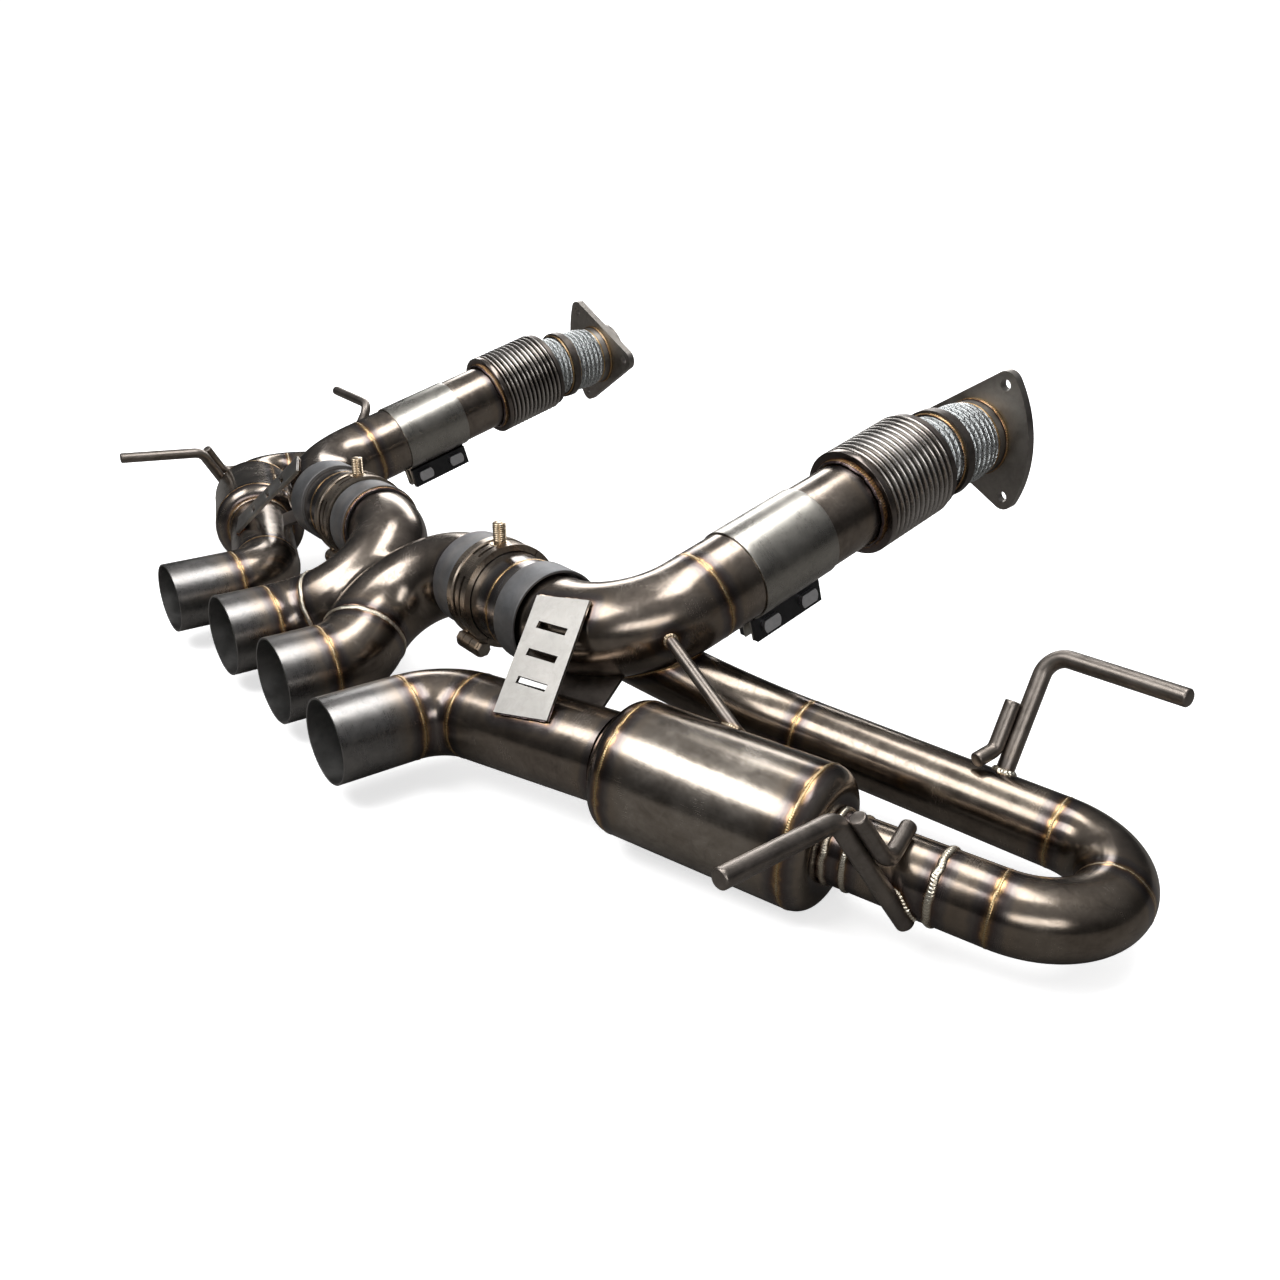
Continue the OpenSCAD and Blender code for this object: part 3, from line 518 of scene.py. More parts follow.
seam_ring(EX, ret, LOOP_RUN + RET_ARC / 2, LOOP_R, 1.2, 0.45, tone=0.4)
seam_ring(EX, back, 0.0, LOOP_R, 1.3, 0.5)
seam_ring(EX, back, BACK_RUN, LOOP_R, 1.4, 0.55)

pts, rad, branch_at = foot(branch, LOOP_R, main_d, 0, branch.S[-1])
bead(EX, pts, normal_of(main_d, pts) + rad * 0.9, 2.2, 1.3, pitch=2.2)


def foot_weld(path, r, hit, span, seg, half, height, pitch, tone, sign=1):
    """A bead round a rod's foot; sign is -1 where the rod starts inside the body."""
    pts, rad, _ = foot(path, r, lambda p: sign * hit(p), *span, seg)
    if len(pts) > 40:
        bead(EX, pts, normal_of(hit, pts) + rad, half, height, pitch=pitch, tone=tone)


brace_end, rear_end = brace.S[-1], rear_rod.S[-1]
foot_weld(brace, BRACE_R, main_d, (0, 40), 60, 2.0, 1.6, 2.0, 0.5, sign=-1)
foot_weld(brace, BRACE_R, sil_d, (brace_end - 40, brace_end), 60, 2.0, 1.4, 2.0, 0.5)
foot_weld(rear_rod, ROD_R, loop_d, (rear_end - 60, rear_end), 80, 3.2, 2.6, 2.6, 0.9)


def side_weld(path, r, hit, half=2.6, height=2.2):
    """Two open beads where a rod lies against a tube."""
    for sign in (-1, 1):
        pts, nrm = [], []
        for s in np.linspace(0, path.S[-1], 220):
            p, t = path.at(s)[:2]
            g = normal_of(hit, p[None])[0]
            g = unit(g - t * (g @ t))
            side = np.cross(t, g) * sign
            best = None
            for a in np.linspace(0, 1.5, 25):
                q = p + r * (math.sin(a) * side - math.cos(a) * g)
                if hit(q[None])[0] > 0:
                    break
                best = q
            if best is not None and hit(best[None])[0] < 0.6:
                pts.append(best)
                nrm.append(unit(side + g * 0.7))
        if len(pts) > 6:
            bead(EX, pts, nrm, half, height, pitch=2.6, tone=0.9, closed=False)


side_weld(front_rod, ROD_R, front_tube_d)
side_weld(front_hook, HOOK_R, front_tube_d, half=2.4, height=1.8)
side_weld(front_hook, HOOK_R, skin(front_rod, r=ROD_R), half=1.8, height=1.4)
side_weld(rear_hook, HOOK_R, skin(back, r=LOOP_R), half=2.4, height=2.0)
side_weld(rear_hook, HOOK_R, skin(rear_rod, r=ROD_R), half=1.8, height=1.4)


# bracket welds, across each end of the plates
def plate_frame(p, q):
    """Directions along a plate, across it and out of it."""
    d = unit(q - p)
    w = vec(math.cos(YAW), math.sin(YAW), 0)
    w = unit(w - d * (w @ d))
    return d, w, np.cross(w, d)


def plate_end_weld(base, d, w, n, sign, left, right, tone):
    """One bead round the three sides of a plate's end, where it sits on a tube."""
    corners = [vec(-24, left), vec(-24, -3), vec(24, -3), vec(24, right)]
    pts, nrm = [], []
    for a, b in zip(corners[:-1], corners[1:]):
        steps = int(np.linalg.norm(b - a) / 0.8)
        out = unit(vec(b[1] - a[1], a[0] - b[0]))
        for k in range(steps):
            x, e = a + (b - a) * k / steps
            side = unit(w * -out[0] + d * sign * out[1])
            pts.append(base + w * x - d * sign * e - n * 1.6 + side * 0.9)
            nrm.append(unit(side + n * 0.9))
    bead(EX, pts, nrm, 2.5, 1.7, pitch=2.2, tone=tone, closed=False)


TB_TOP, TB_LOW = vec(265.2, -145.3, 149.7), vec(297.9, -205.2, 85.8)
plate_d, plate_w, plate_n = plate_frame(TB_TOP, TB_LOW)
if plate_n[2] < 0:
    plate_n = -plate_n
plate_end_weld(TB_TOP, plate_d, plate_w, plate_n, -1, 26, 12, 0.5)
plate_end_weld(TB_LOW, plate_d, plate_w, plate_n, 1, 8, 12, -0.4)

# long seam of the rolled silencer shell
th = deg(62)
n0, b0 = sil_line.at(0)[2:]
line_n = unit(n0 * math.cos(th) + b0 * math.sin(th))
pts = [SIL - SD * (SIL_HALF - 16) + SD * s + line_n * (SIL_R - 0.2) for s in range(0, 138, 2)]
bead(EX, pts, [line_n] * len(pts), 1.2, 0.45, pitch=1.6, closed=False)

# ---------------------------------------------------------------- heat distance
all_seams = np.vstack(SEAMS)
kd = KDTree(len(all_seams))
for i, p in enumerate(all_seams):
    kd.insert(p, i)
kd.balance()


def heat_of(V):
    """Distance of each point from the nearest seam."""
    return np.array([kd.find(p)[2] for p in V])


# ---------------------------------------------------------------- materials
def material(name):
    m = bpy.data.materials.new(name)
    m.use_nodes = True
    nt = m.node_tree
    nt.nodes.clear()
    out = nt.nodes.new("ShaderNodeOutputMaterial")
    bsdf = nt.nodes.new("ShaderNodeBsdfPrincipled")
    nt.links.new(bsdf.outputs[0], out.inputs[0])
    return m, nt, bsdf


class Nodes:
    """Short calls for wiring a node tree."""

    def __init__(self, nt):
        self.nt = nt

    def new(self, kind, **props):
        n = self.nt.nodes.new(kind)
        for k, v in props.items():
            setattr(n, k, v)
        return n

    def put(self, socket, value):
        if isinstance(value, bpy.types.NodeSocket):
            self.nt.links.new(value, socket)
        else:
            socket.default_value = value

    def attr(self, name, vector=False):
        n = self.new("ShaderNodeAttribute", attribute_name=name)
        return n.outputs["Vector" if vector else "Fac"]

    def math(self, op, a, b=0.0, clamp=False):
        n = self.new("ShaderNodeMath", operation=op, use_clamp=clamp)
        self.put(n.inputs[0], a)
        self.put(n.inputs[1], b)
        return n.outputs[0]

    def scale(self, v, k):
        n = self.new("ShaderNodeVectorMath", operation="MULTIPLY")
        self.put(n.inputs[0], v)
        n.inputs[1].default_value = k
        return n.outputs[0]

    def noise(self, v, scale, detail=3.0, rough=0.55, distort=0.0):
        n = self.new("ShaderNodeTexNoise")
        self.put(n.inputs["Vector"], v)
        n.inputs["Scale"].default_value = scale
        n.inputs["Detail"].default_value = detail
        n.inputs["Roughness"].default_value = rough
        n.inputs["Distortion"].default_value = distort
        return n.outputs[0]

    def ramp(self, fac, stops, mode="LINEAR"):
        n = self.new("ShaderNodeValToRGB")
        n.color_ramp.interpolation = mode
        e = n.color_ramp.elements
        while len(e) < len(stops):
            e.new(0.5)
        for el, (pos, col) in zip(e, stops):
            el.position = pos
            el.color = (*col, 1.0) if len(col) == 3 else col
        self.put(n.inputs[0], fac)
        return n

    def mix(self, fac, a, b):
        n = self.new("ShaderNodeMix", data_type="RGBA", blend_type="MIX")
        self.put(n.inputs[0], fac)
        self.put(n.inputs[6], a if isinstance(a, bpy.types.NodeSocket) else (*a, 1.0))
        self.put(n.inputs[7], b if isinstance(b, bpy.types.NodeSocket) else (*b, 1.0))
        return n.outputs[2]

    def span(self, v, a, b, lo=0.0, hi=1.0):
        n = self.new("ShaderNodeMapRange")
        self.put(n.inputs[0], v)
        for i, x in enumerate((a, b, lo, hi)):
            n.inputs[i + 1].default_value = x
        return n.outputs[0]

    def dim(self, col, k):
        n = self.new("ShaderNodeVectorMath", operation="SCALE")
        self.put(n.inputs[0], col)
        self.put(n.inputs["Scale"], k)
        return n.outputs[0]

    def bump(self, height, strength, distance, under=None):
        n = self.new("ShaderNodeBump")
        n.inputs["Strength"].default_value = strength
        n.inputs["Distance"].default_value = distance
        self.put(n.inputs["Height"], height)
        if under is not None:
            self.put(n.inputs["Normal"], under)
        return n.outputs[0]


TINT = [(0.0, (0.50, 0.33, 0.15)), (0.04, (0.46, 0.29, 0.13)), (0.07, (0.26, 0.16, 0.085)),
        (0.11, (0.12, 0.08, 0.065)), (0.18, (0.11, 0.09, 0.088)), (0.28, (0.16, 0.14, 0.13)),
        (0.45, (0.28, 0.225, 0.175)), (0.75, (0.25, 0.21, 0.17)), (1.0, (0.23, 0.195, 0.16))]
TINT_REACH = 30.0
BRUSH = {"round": (0.05, 0.05, 4.5), "long": (3.0, 3.0, 0.04), "x": (0.04, 3.0, 3.0)}


def metal(name, dark, light, rough=(0.15, 0.28), brush="round", tint=0.9, cad=False,
          brush_bump=0.08, stain=0.5, metallic=1.0, pit=0.0, painted_shade=False, bore=False):
    """Worked metal: cloudy colour, fine brushing, heat tint by distance from a seam, and, where
    asked, painted shade that darkens the colour where the tone attribute is low.

    Lengths inside the tree are millimetres: the flow attribute is the straightened part."""
    m, nt, bsdf = material(name)
    g = Nodes(nt)
    if cad:
        coord = g.new("ShaderNodeTexCoord").outputs["Object"]
        flow = g.scale(coord, (1000.0, 1000.0, 1000.0))
    else:
        flow = g.attr("flow", True)
    cloud = g.noise(flow, 0.035, 5.0, 0.62, 0.4)
    patch = g.noise(flow, 0.11, 4.0, 0.6, 1.2)
    fine = g.noise(flow, 1.6, 3.0, 0.6)
    if brush in BRUSH:
        lines = g.noise(g.scale(flow, BRUSH[brush]), 1.0, 4.0, 0.7)
    else:
        lines = g.noise(flow, 2.4, 5.0, 0.7)
    blend = g.span(g.math("ADD", g.math("MULTIPLY", cloud, 0.65),
                          g.math("MULTIPLY", patch, 0.35)), 0.36, 0.62)
    col = g.mix(blend, dark, light)
    marks = g.ramp(g.noise(flow, 0.06, 6.0, 0.7, 2.5),
                   [(0.0, (0, 0, 0)), (0.56, (0, 0, 0)), (0.64, (1, 1, 1)), (1.0, (1, 1, 1))])
    col = g.mix(g.math("MULTIPLY", marks.outputs[0], stain * 0.35), col,
                (dark[0] * 0.62, dark[1] * 0.66, dark[2] * 0.74))
    col = g.mix(g.math("MULTIPLY", g.span(lines, 0.3, 0.7), 0.22), col,
                (light[0] * 1.25, light[1] * 1.25, light[2] * 1.25))
    if tint > 0:
        near = g.attr("near")
        wobble = g.math("MULTIPLY", g.math("SUBTRACT", g.noise(flow, 0.16, 3.0), 0.5), 5.0)
        d = g.math("MAXIMUM", g.math("ADD", near, wobble), 0.0)
        f = g.math("DIVIDE", d, TINT_REACH, clamp=True)
        ramp = g.ramp(f, TINT, "EASE")
        amount = g.math("MULTIPLY", g.span(f, 0.25, 1.0, 1.0, 0.0), tint)
        col = g.mix(amount, col, ramp.outputs[0])
    if bore:
        col = g.mix(g.math("MULTIPLY", g.attr("tone"), 0.4), col, (0.34, 0.34, 0.335))
    # painted shade: darkens the colour to 0.06 where tone is 0, in bellows grooves and under braid
    # crossings
    if painted_shade:
        col = g.dim(col, g.span(g.attr("tone"), 0.1, 0.8, 0.06, 1.0))
    g.put(bsdf.inputs["Base Color"], col)
    bsdf.inputs["Metallic"].default_value = metallic
    r = g.math("ADD", g.span(cloud, 0.3, 0.7, rough[0], rough[1]),
               g.math("MULTIPLY", g.math("SUBTRACT", lines, 0.5), 0.16))
    r = g.math("ADD", r, g.math("MULTIPLY", g.math("SUBTRACT", fine, 0.5), 0.08))
    if bore:
        r = g.math("ADD", r, g.math("MULTIPLY", g.attr("tone"), 0.08))
    g.put(bsdf.inputs["Roughness"], r)
    n = g.bump(lines, brush_bump, 0.00006)
    n = g.bump(patch, 0.10, 0.0004, n)
    if pit > 0:
        n = g.bump(g.noise(flow, 1.1, 4.0, 0.7), pit, 0.0002, n)
    g.put(bsdf.inputs["Normal"], n)
    return m


def weld_metal(name):
    """Bead metal: silver or straw crowns, burnt edges, and painted shade in the ripple valleys."""
    m, nt, bsdf = material(name)
    g = Nodes(nt)
    flow = g.attr("flow", True)
    tone = g.attr("tone")
    sep = g.new("ShaderNodeSeparateXYZ")
    g.put(sep.inputs[0], flow)
    edge = g.math("ABSOLUTE", sep.outputs[1])
    warm = g.ramp(g.math("DIVIDE", edge, 2.2, clamp=True),
                  [(0.0, (0.66, 0.50, 0.29)), (0.35, (0.60, 0.40, 0.19)), (0.6, (0.40, 0.22, 0.10)),
                   (0.8, (0.18, 0.10, 0.08)), (1.0, (0.12, 0.09, 0.09))])
    pale = g.ramp(g.math("DIVIDE", edge, 3.0, clamp=True),
                  [(0.0, (0.80, 0.75, 0.64)), (0.6, (0.72, 0.66, 0.54)), (0.85, (0.42, 0.33, 0.24)),
                   (1.0, (0.25, 0.19, 0.15))])
    shift = g.noise(g.scale(flow, (0.05, 0.0, 0.0)), 1.0, 2.0)
    pick = g.math("ADD", tone, g.span(shift, 0.35, 0.65, -0.25, 0.25), clamp=True)
    col = g.mix(pick, warm.outputs[0], pale.outputs[0])
    # painted shade: the colour is dimmed to 0.55 in the valleys between ripples
    groove = g.span(sep.outputs[2], 0.0, 0.9, 0.55, 1.0)
    g.put(bsdf.inputs["Base Color"], g.dim(col, groove))
    bsdf.inputs["Metallic"].default_value = 1.0
    g.put(bsdf.inputs["Roughness"], g.span(g.noise(flow, 1.2, 3.0), 0.3, 0.7, 0.2, 0.38))
    g.put(bsdf.inputs["Normal"], g.bump(g.noise(flow, 2.5, 3.0), 0.12, 0.0002))
    return m


titan = metal("titanium_tube", (0.165, 0.135, 0.112), (0.34, 0.29, 0.245), stain=1.0)
titan_small = metal("titanium_loop", (0.155, 0.125, 0.10), (0.30, 0.255, 0.21), stain=1.0)
shell_mat = metal("rolled_shell", (0.27, 0.23, 0.19), (0.46, 0.41, 0.355), rough=(0.15, 0.27),
                  brush="long", stain=0.8)
tip_mat = metal("tip_tube", (0.17, 0.165, 0.162), (0.30, 0.288, 0.277), rough=(0.24, 0.38),
                stain=1.0, brush_bump=0.2, bore=True)
ferrule_mat = metal("blasted_ring", (0.17, 0.172, 0.178), (0.25, 0.252, 0.258), rough=(0.52, 0.66),
                    brush="none", tint=0.25, pit=0.35, stain=0.3)
rod_mat = metal("hanger_steel", (0.17, 0.148, 0.13), (0.31, 0.275, 0.245), rough=(0.3, 0.46),
                brush="long", tint=0.35, pit=0.2)
bellows_mat = metal("bellows_steel", (0.46, 0.43, 0.40), (0.64, 0.61, 0.58), rough=(0.2, 0.32),
                    brush="none", brush_bump=0.0, tint=0.3, stain=0.3, painted_shade=True)
braid_mat = metal("braid_wire", (0.42, 0.44, 0.44), (0.62, 0.64, 0.64), rough=(0.2, 0.34),
                  brush="none", tint=0.0, stain=0.2, painted_shade=True)
stud_mat = metal("stud_bronze", (0.42, 0.33, 0.22), (0.62, 0.5, 0.36), rough=(0.2, 0.34),
                 brush="round", tint=0.0)
clamp_mat = metal("clamp_straw", (0.24, 0.195, 0.155), (0.44, 0.375, 0.305), rough=(0.22, 0.38),
                  brush="x", tint=0, cad=True)
sleeve_mat = metal("brushed_sleeve", (0.33, 0.315, 0.285), (0.46, 0.44, 0.40), rough=(0.24, 0.36),
                   brush="round", tint=0, brush_bump=0.25, stain=0.6)
hub_mat = metal("polished_hub", (0.30, 0.30, 0.31), (0.48, 0.47, 0.46), rough=(0.16, 0.28),
                tint=0.8, stain=0.4)
plate_mat = metal("bracket_plate", (0.22, 0.21, 0.198), (0.32, 0.31, 0.292), rough=(0.34, 0.48),
                  brush="x", tint=0, cad=True)
flange_mat = metal("flange_steel", (0.24, 0.22, 0.20), (0.37, 0.345, 0.32), rough=(0.34, 0.5),
                   brush="none", tint=0, cad=True, pit=0.2)
dark_mat = metal("dark_steel", (0.07, 0.06, 0.056), (0.16, 0.14, 0.125), rough=(0.36, 0.55),
                 brush="none", tint=0, cad=True, pit=0.25)
zinc_mat = metal("zinc_plate", (0.55, 0.56, 0.58), (0.80, 0.80, 0.82), rough=(0.24, 0.42),
                 brush="none", tint=0, cad=True, pit=0.15)
black_mat = metal("black_bar", (0.012, 0.012, 0.013), (0.03, 0.03, 0.032), rough=(0.3, 0.46),
                  brush="none", tint=0, cad=True, metallic=0.6)
pin_mat = metal("pin_steel", (0.35, 0.31, 0.27), (0.55, 0.49, 0.42), rough=(0.26, 0.4),
                brush="none", tint=0, cad=True)
weld_mat = weld_metal("weld_bead")
pack_mat = metal("packing_fibre", (0.7, 0.66, 0.55), (0.85, 0.82, 0.72), rough=(0.8, 0.95),
                 brush="none", tint=0, cad=True, metallic=0.0, pit=0.6)


# ---------------------------------------------------------------- pieces
def place(build, name, body, mat, stands_for=(), sharp=38, heat=True):
    """Makes the right-hand piece and its mirror."""
    made = []
    for side in ("right", "left"):
        b = body if body == EX else f"{body}_{side}"
        obj = build.mesh(f"{name}_{side}", side == "left", sharp, heat)
        obj.data.materials.append(mat)
        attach(obj, b)
        names = [n.replace("*", side) for n in stands_for]
        if names:
            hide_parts(*names)
        made.append(obj)
    return made


b = Build()
tube(b, main, MAIN_R)
place(b, "bent_pipe", EX, titan, ["main_bend_*"])

b = Build()
tube(b, Path(K + U * INLET_FROM, U).line(BELLOWS_FROM - INLET_FROM).done(), MAIN_R)
revolve(b, rounded([(38.2, -6), (48.2, -6), (48.2, -0.3), (38.2, -0.3)], 0.8),
        K + U * BELLOWS_FROM, U)
place(b, "inlet_run", IN, titan, ["inlet_pipe_*"])

b = Build()
tube(b, elbow, MAIN_R)
elbows = place(b, "elbow", EX, titan)
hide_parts("inner_elbows")
b = Build()
tube(b, inner_tip, MAIN_R, lip=0.4)
tips = place(b, "inner_tip", EX, tip_mat)
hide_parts("inner_tips")
for name, path, r, lip, mat, slot, node in (
        ("side_tip", outer_tip, TIP_R, 0.4, tip_mat, "tip", "outer_tip_*"),
        ("tail_tube", tail, TIP_R, 0.25, titan, "tube", "tail_pipe_*"),
        ("loop_front", front, LOOP_R, 0.25, titan_small, "tube", "front_leg_*"),
        ("loop_bend", ret, LOOP_R, 0.25, titan_small, "tube", "return_bend_*"),
        ("loop_back", back, LOOP_R, 0.25, titan_small, "tube", "return_leg_*")):
    b = Build()
    tube(b, path, r, lip=lip)
    place(b, name, EX, mat, [node])


def trimmed_tube(build, path, r, at, seg):
    """A tube whose far end is cut to the distances in at."""
    th = np.linspace(0, 2 * math.pi, seg, endpoint=False)
    rows, flow = [], []
    for rr, order in ((r, np.linspace(0, 1, 60)), (r - WALL, np.linspace(1, 0, 60))):
        for k in order:
            row = []
            for j in range(seg):
                p, _, nn, bb = path.at(at[j] * k)
                row.append(p + rr * (math.cos(th[j]) * nn + math.sin(th[j]) * bb))
            rows.append(row)
            flow.append(np.stack([rr * np.cos(th), rr * np.sin(th), at * k], -1))
    build.grid(np.array(rows), np.array(flow), close_u=True)


b = Build()
trimmed_tube(b, branch, LOOP_R, np.minimum(branch_at + 0.4, branch.S[-1]), 120)
place(b, "branch_tube", EX, titan_small, ["branch_pipe_*"])

for end, path in (("front", front_rod), ("rear", rear_rod)):
    b = Build()
    rod(b, path, ROD_R)
    place(b, f"{end}_hanger_rod", EX, rod_mat, [f"{end}_hanger_*"])
b = Build()
rod(b, front_hook, HOOK_R, seg=28, chamfer=0.7)
rod(b, rear_hook, HOOK_R, seg=28, chamfer=0.7)
hooks = place(b, "hanger_hook", EX, rod_mat)
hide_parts("hanger_hooks")
b = Build()
rod(b, brace, BRACE_R, seg=32, chamfer=0.7)
braces = place(b, "brace_bar", EX, rod_mat)
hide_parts("brace_rods")

# silencer: rolled shell between two crowned caps
h, rs = SIL_HALF, SIL_R
crown = [(rs - 0.15 * math.cos(deg(a)) - 15.5 * (1 - math.cos(deg(a))),
          h - 15 + 15 * math.sin(deg(a))) for a in range(4, 91, 6)]
right_cap = [(rs, h - 15)] + crown + [(LOOP_R + 0.1, h)]
left_cap = [(TIP_R, -h - 4), (TIP_R, -h), (35.5, -h)] + [(r, -z) for r, z in reversed(crown)] + [
    (rs, -h + 15)]
inner = [(LOOP_R + 0.1, h - 1.5), (34, h - 1.5), (rs - 1.5, h - 16), (rs - 1.5, -h + 16),
         (36, -h + 1.5), (TIP_R - 1.5, -h + 1.5), (TIP_R - 1.5, -h - 4)]
b = Build()
revolve(b, densify(np.array(left_cap + right_cap + inner), 3.0), SIL, SD, seg=160)
place(b, "silencer_can", EX, shell_mat, ["silencer_shell_*"])

# ferrules
a0, a1 = CLAMP_X + 0.5, CLAMP_X - 0.5
for name, part, hub, collar in (
        ("outer", "outer_ferrule_*",
         [(36.6, a0), (41.6, a0), (41.6, a0 + 5), (39.8, a0 + 5), (39.8, 200), (36.6, 200)],
         [(38.2, 199), (43, 199), (43, 228), (40.6, 228), (40.6, 213.8), (38.2, 213.8)]),
        ("inner", "inner_ferrule_*",
         [(36.6, 124), (39.8, 124), (39.8, a1 - 5), (41.6, a1 - 5), (41.6, a1), (36.6, a1)],
         [(36.6, 96), (43, 96), (43, 125), (36.6, 125)])):
    b = Build()
    revolve(b, densify(rounded(hub, 0.5), 4.0), vec(0, CY, CZ), X)
    place(b, name + "_hub", EX, hub_mat, [part])
    b = Build()
    revolve(b, densify(rounded(collar, 0.8), 4.0), vec(0, CY, CZ), X)
    place(b, name + "_ring", EX, ferrule_mat)

# slip sleeve: rolled sheet with two ears folded down
SLEEVE_AT = K + U * (125.4 + 41)
SLEEVE_UP = np.cross(U, -X)
sleeve_in, sleeve_out, sleeve_half = MAIN_R + 0.05, MAIN_R + 1.35, 41
ear_in, ear_out, ear_low, ear_half = 4, 6, -63.3, 38


def at_sleeve(x, y, z):
    return SLEEVE_AT - X * x[..., None] + SLEEVE_UP * y[..., None] + U * z[..., None]


def capped(build, P, flow):
    """A closed skin with both end rows drawn to a point."""
    a, z = P[:1].mean(1, keepdims=True), P[-1:].mean(1, keepdims=True)
    m = P.shape[1]
    build.grid(np.concatenate([np.repeat(a, m, 1), P, np.repeat(z, m, 1)]),
               np.concatenate([flow[:1], flow, flow[-1:]]))


def sleeve(build):
    half_slot = math.asin(ear_in / sleeve_in)
    th = np.linspace(half_slot, 2 * math.pi - half_slot, 170)[:, None] - math.pi / 2
    out = densify(rounded([(sleeve_in, -sleeve_half), (sleeve_out, -sleeve_half),
                           (sleeve_out, sleeve_half), (sleeve_in, sleeve_half)], 0.35), 5.0)
    r, z = out[None, :, 0], out[None, :, 1]
    x, y = r * np.cos(th), r * np.sin(th)
    z = z + 0 * x
    capped(build, at_sleeve(x, y, z), np.stack([x, y, z], -1))
    fold = np.array([(ear_in, -38.4), (ear_in, ear_low + 0.3), (ear_in + 0.3, ear_low),
                     (ear_out - 0.3, ear_low), (ear_out, ear_low + 0.3), (ear_out, -41.0),
                     (ear_out + 0.3, -40.0), (ear_out + 1.1, -39.25), (8.5, -38.62), (8.5, -38.2)])
    for sign in (-1, 1):
        z = np.linspace(-ear_half, ear_half, 16)[:, None] + np.zeros((1, len(fold)))
        x, y = sign * fold[None, :, 0] + 0 * z, fold[None, :, 1] + 0 * z
        P, flow = at_sleeve(x, y, z), np.stack([x, y, z], -1)
        if sign > 0:
            P, flow = P[:, ::-1], flow[:, ::-1]
        capped(build, P, flow)


# both sleeves are the same hand, so the left one is a shifted copy and not a mirror
for side, shift in (("right", 0.0), ("left", -2 * K[0])):
    b = Build()
    sleeve(b)
    obj = b.mesh(f"slip_sleeve_{side}", False, 38, False)
    for v in obj.data.vertices:
        v.co.x += shift * MM
    obj.data.materials.append(sleeve_mat)
    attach(obj, EX)
    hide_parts(f"lap_sleeve_{side}")

# bellows: a row of rounded folds; tone is 1 on a crest and 0 in a groove, and the material uses it
# for painted shade in the grooves
FOLDS, FOLD_STEPS, ROOT_R, FOLD_DEEP, LINER_R = 12, 16, 42.2, 6.0, 41.2
prof, crest = [], []
for k in range(FOLDS):
    for j in range(FOLD_STEPS):
        f = j / FOLD_STEPS
        bulge = 0.5 - 0.5 * math.cos(2 * math.pi * f)
        prof.append((ROOT_R + FOLD_DEEP * bulge ** 0.42, (k + f) * (BELLOWS_LONG / FOLDS)))
        crest.append(bulge ** 0.6)
prof += [(ROOT_R, BELLOWS_LONG), (LINER_R, BELLOWS_LONG), (LINER_R, 37), (LINER_R, 0)]
# the end and liner rows take a middling value, so they are painted half in shade
crest += [0.5] * 4
b = Build()
revolve(b, np.array(prof), K + U * BELLOWS_FROM, U, seg=128,
        tone=np.repeat(np.array(crest)[:, None], 128, 1))
for side, s in (("right", 1), ("left", -1)):
    obj = b.mesh(f"bellows_skin_{side}", side == "left", 60)
    obj.data.materials.append(bellows_mat)
    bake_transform(obj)
    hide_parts(f"bellows_{side}")


# woven braid: flat bands of wires, over one and under one
def braid(build, s0, s1, radius, bands=30, wires=4, lift=1.0, lead=200.0):
    turn_per_mm = 2 * math.pi / lead
    seg = max(12, int((s1 - s0) / 0.8))
    spacing = 2 * math.pi / bands
    band_w = spacing * 0.84
    s = np.linspace(s0, s1, seg)
    middle = np.array([radius(x) for x in s]) - 0.6
    across = np.cross(FU, X)
    for direction in (-1, 1):
        # the bands cross every pi / (bands * turn_per_mm), one above and one below in turn
        over = direction * np.cos(bands * s * turn_per_mm)
        rr = middle + lift * 0.5 * over
        for k in range(bands):
            th = spacing * k + direction * s * turn_per_mm
            for w in range(wires):
                off = ((w + 0.5) / wires - 0.5) * band_w
                wr = band_w / wires * 36 * 0.5
                rows, flow = [], []
                for q in range(5):
                    a = math.pi * (q / 4)
                    side = -math.cos(a) * wr
                    r = rr + math.sin(a) * wr * 0.7
                    ang = th + off + side / r
                    rows.append(FLEX_O + FU * s[:, None] + r[:, None] * (
                        np.cos(ang)[:, None] * X + np.sin(ang)[:, None] * across))
                    flow.append(np.stack([s, np.full(seg, side + w), r + k], -1))
                # tone is 1 where a band lies on top and 0 where it runs under, which the material
                # turns into painted shade under the crossings
                build.grid(np.array(rows), np.array(flow), close_v=False,
                           tone=np.tile(0.5 + 0.5 * over, (5, 1)))


def braid_radius(s):
    if s < 26:
        return 36.0 - 0.25
    return 37.3 - 0.3 if s < 60 else 37.0 - (s - 60) * 0.18


for side, s in (("right", 1), ("left", -1)):
    b = Build()
    braid(b, 1.5, 23, braid_radius)
    braid(b, 30, 70, braid_radius)
    # a thin sleeve under the braid with tone 0, painted almost black as the shade behind the gaps
    revolve(b, np.array([(34.2, 1), (34.6, 69.5), (33.0, 69.5), (33.0, 1)]), FLEX_O, FU, seg=64)
    obj = b.mesh(f"wire_braid_{side}", side == "left", 60, False)
    obj.data.materials.append(braid_mat)
    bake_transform(obj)
    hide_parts(f"flex_braid_{side}")

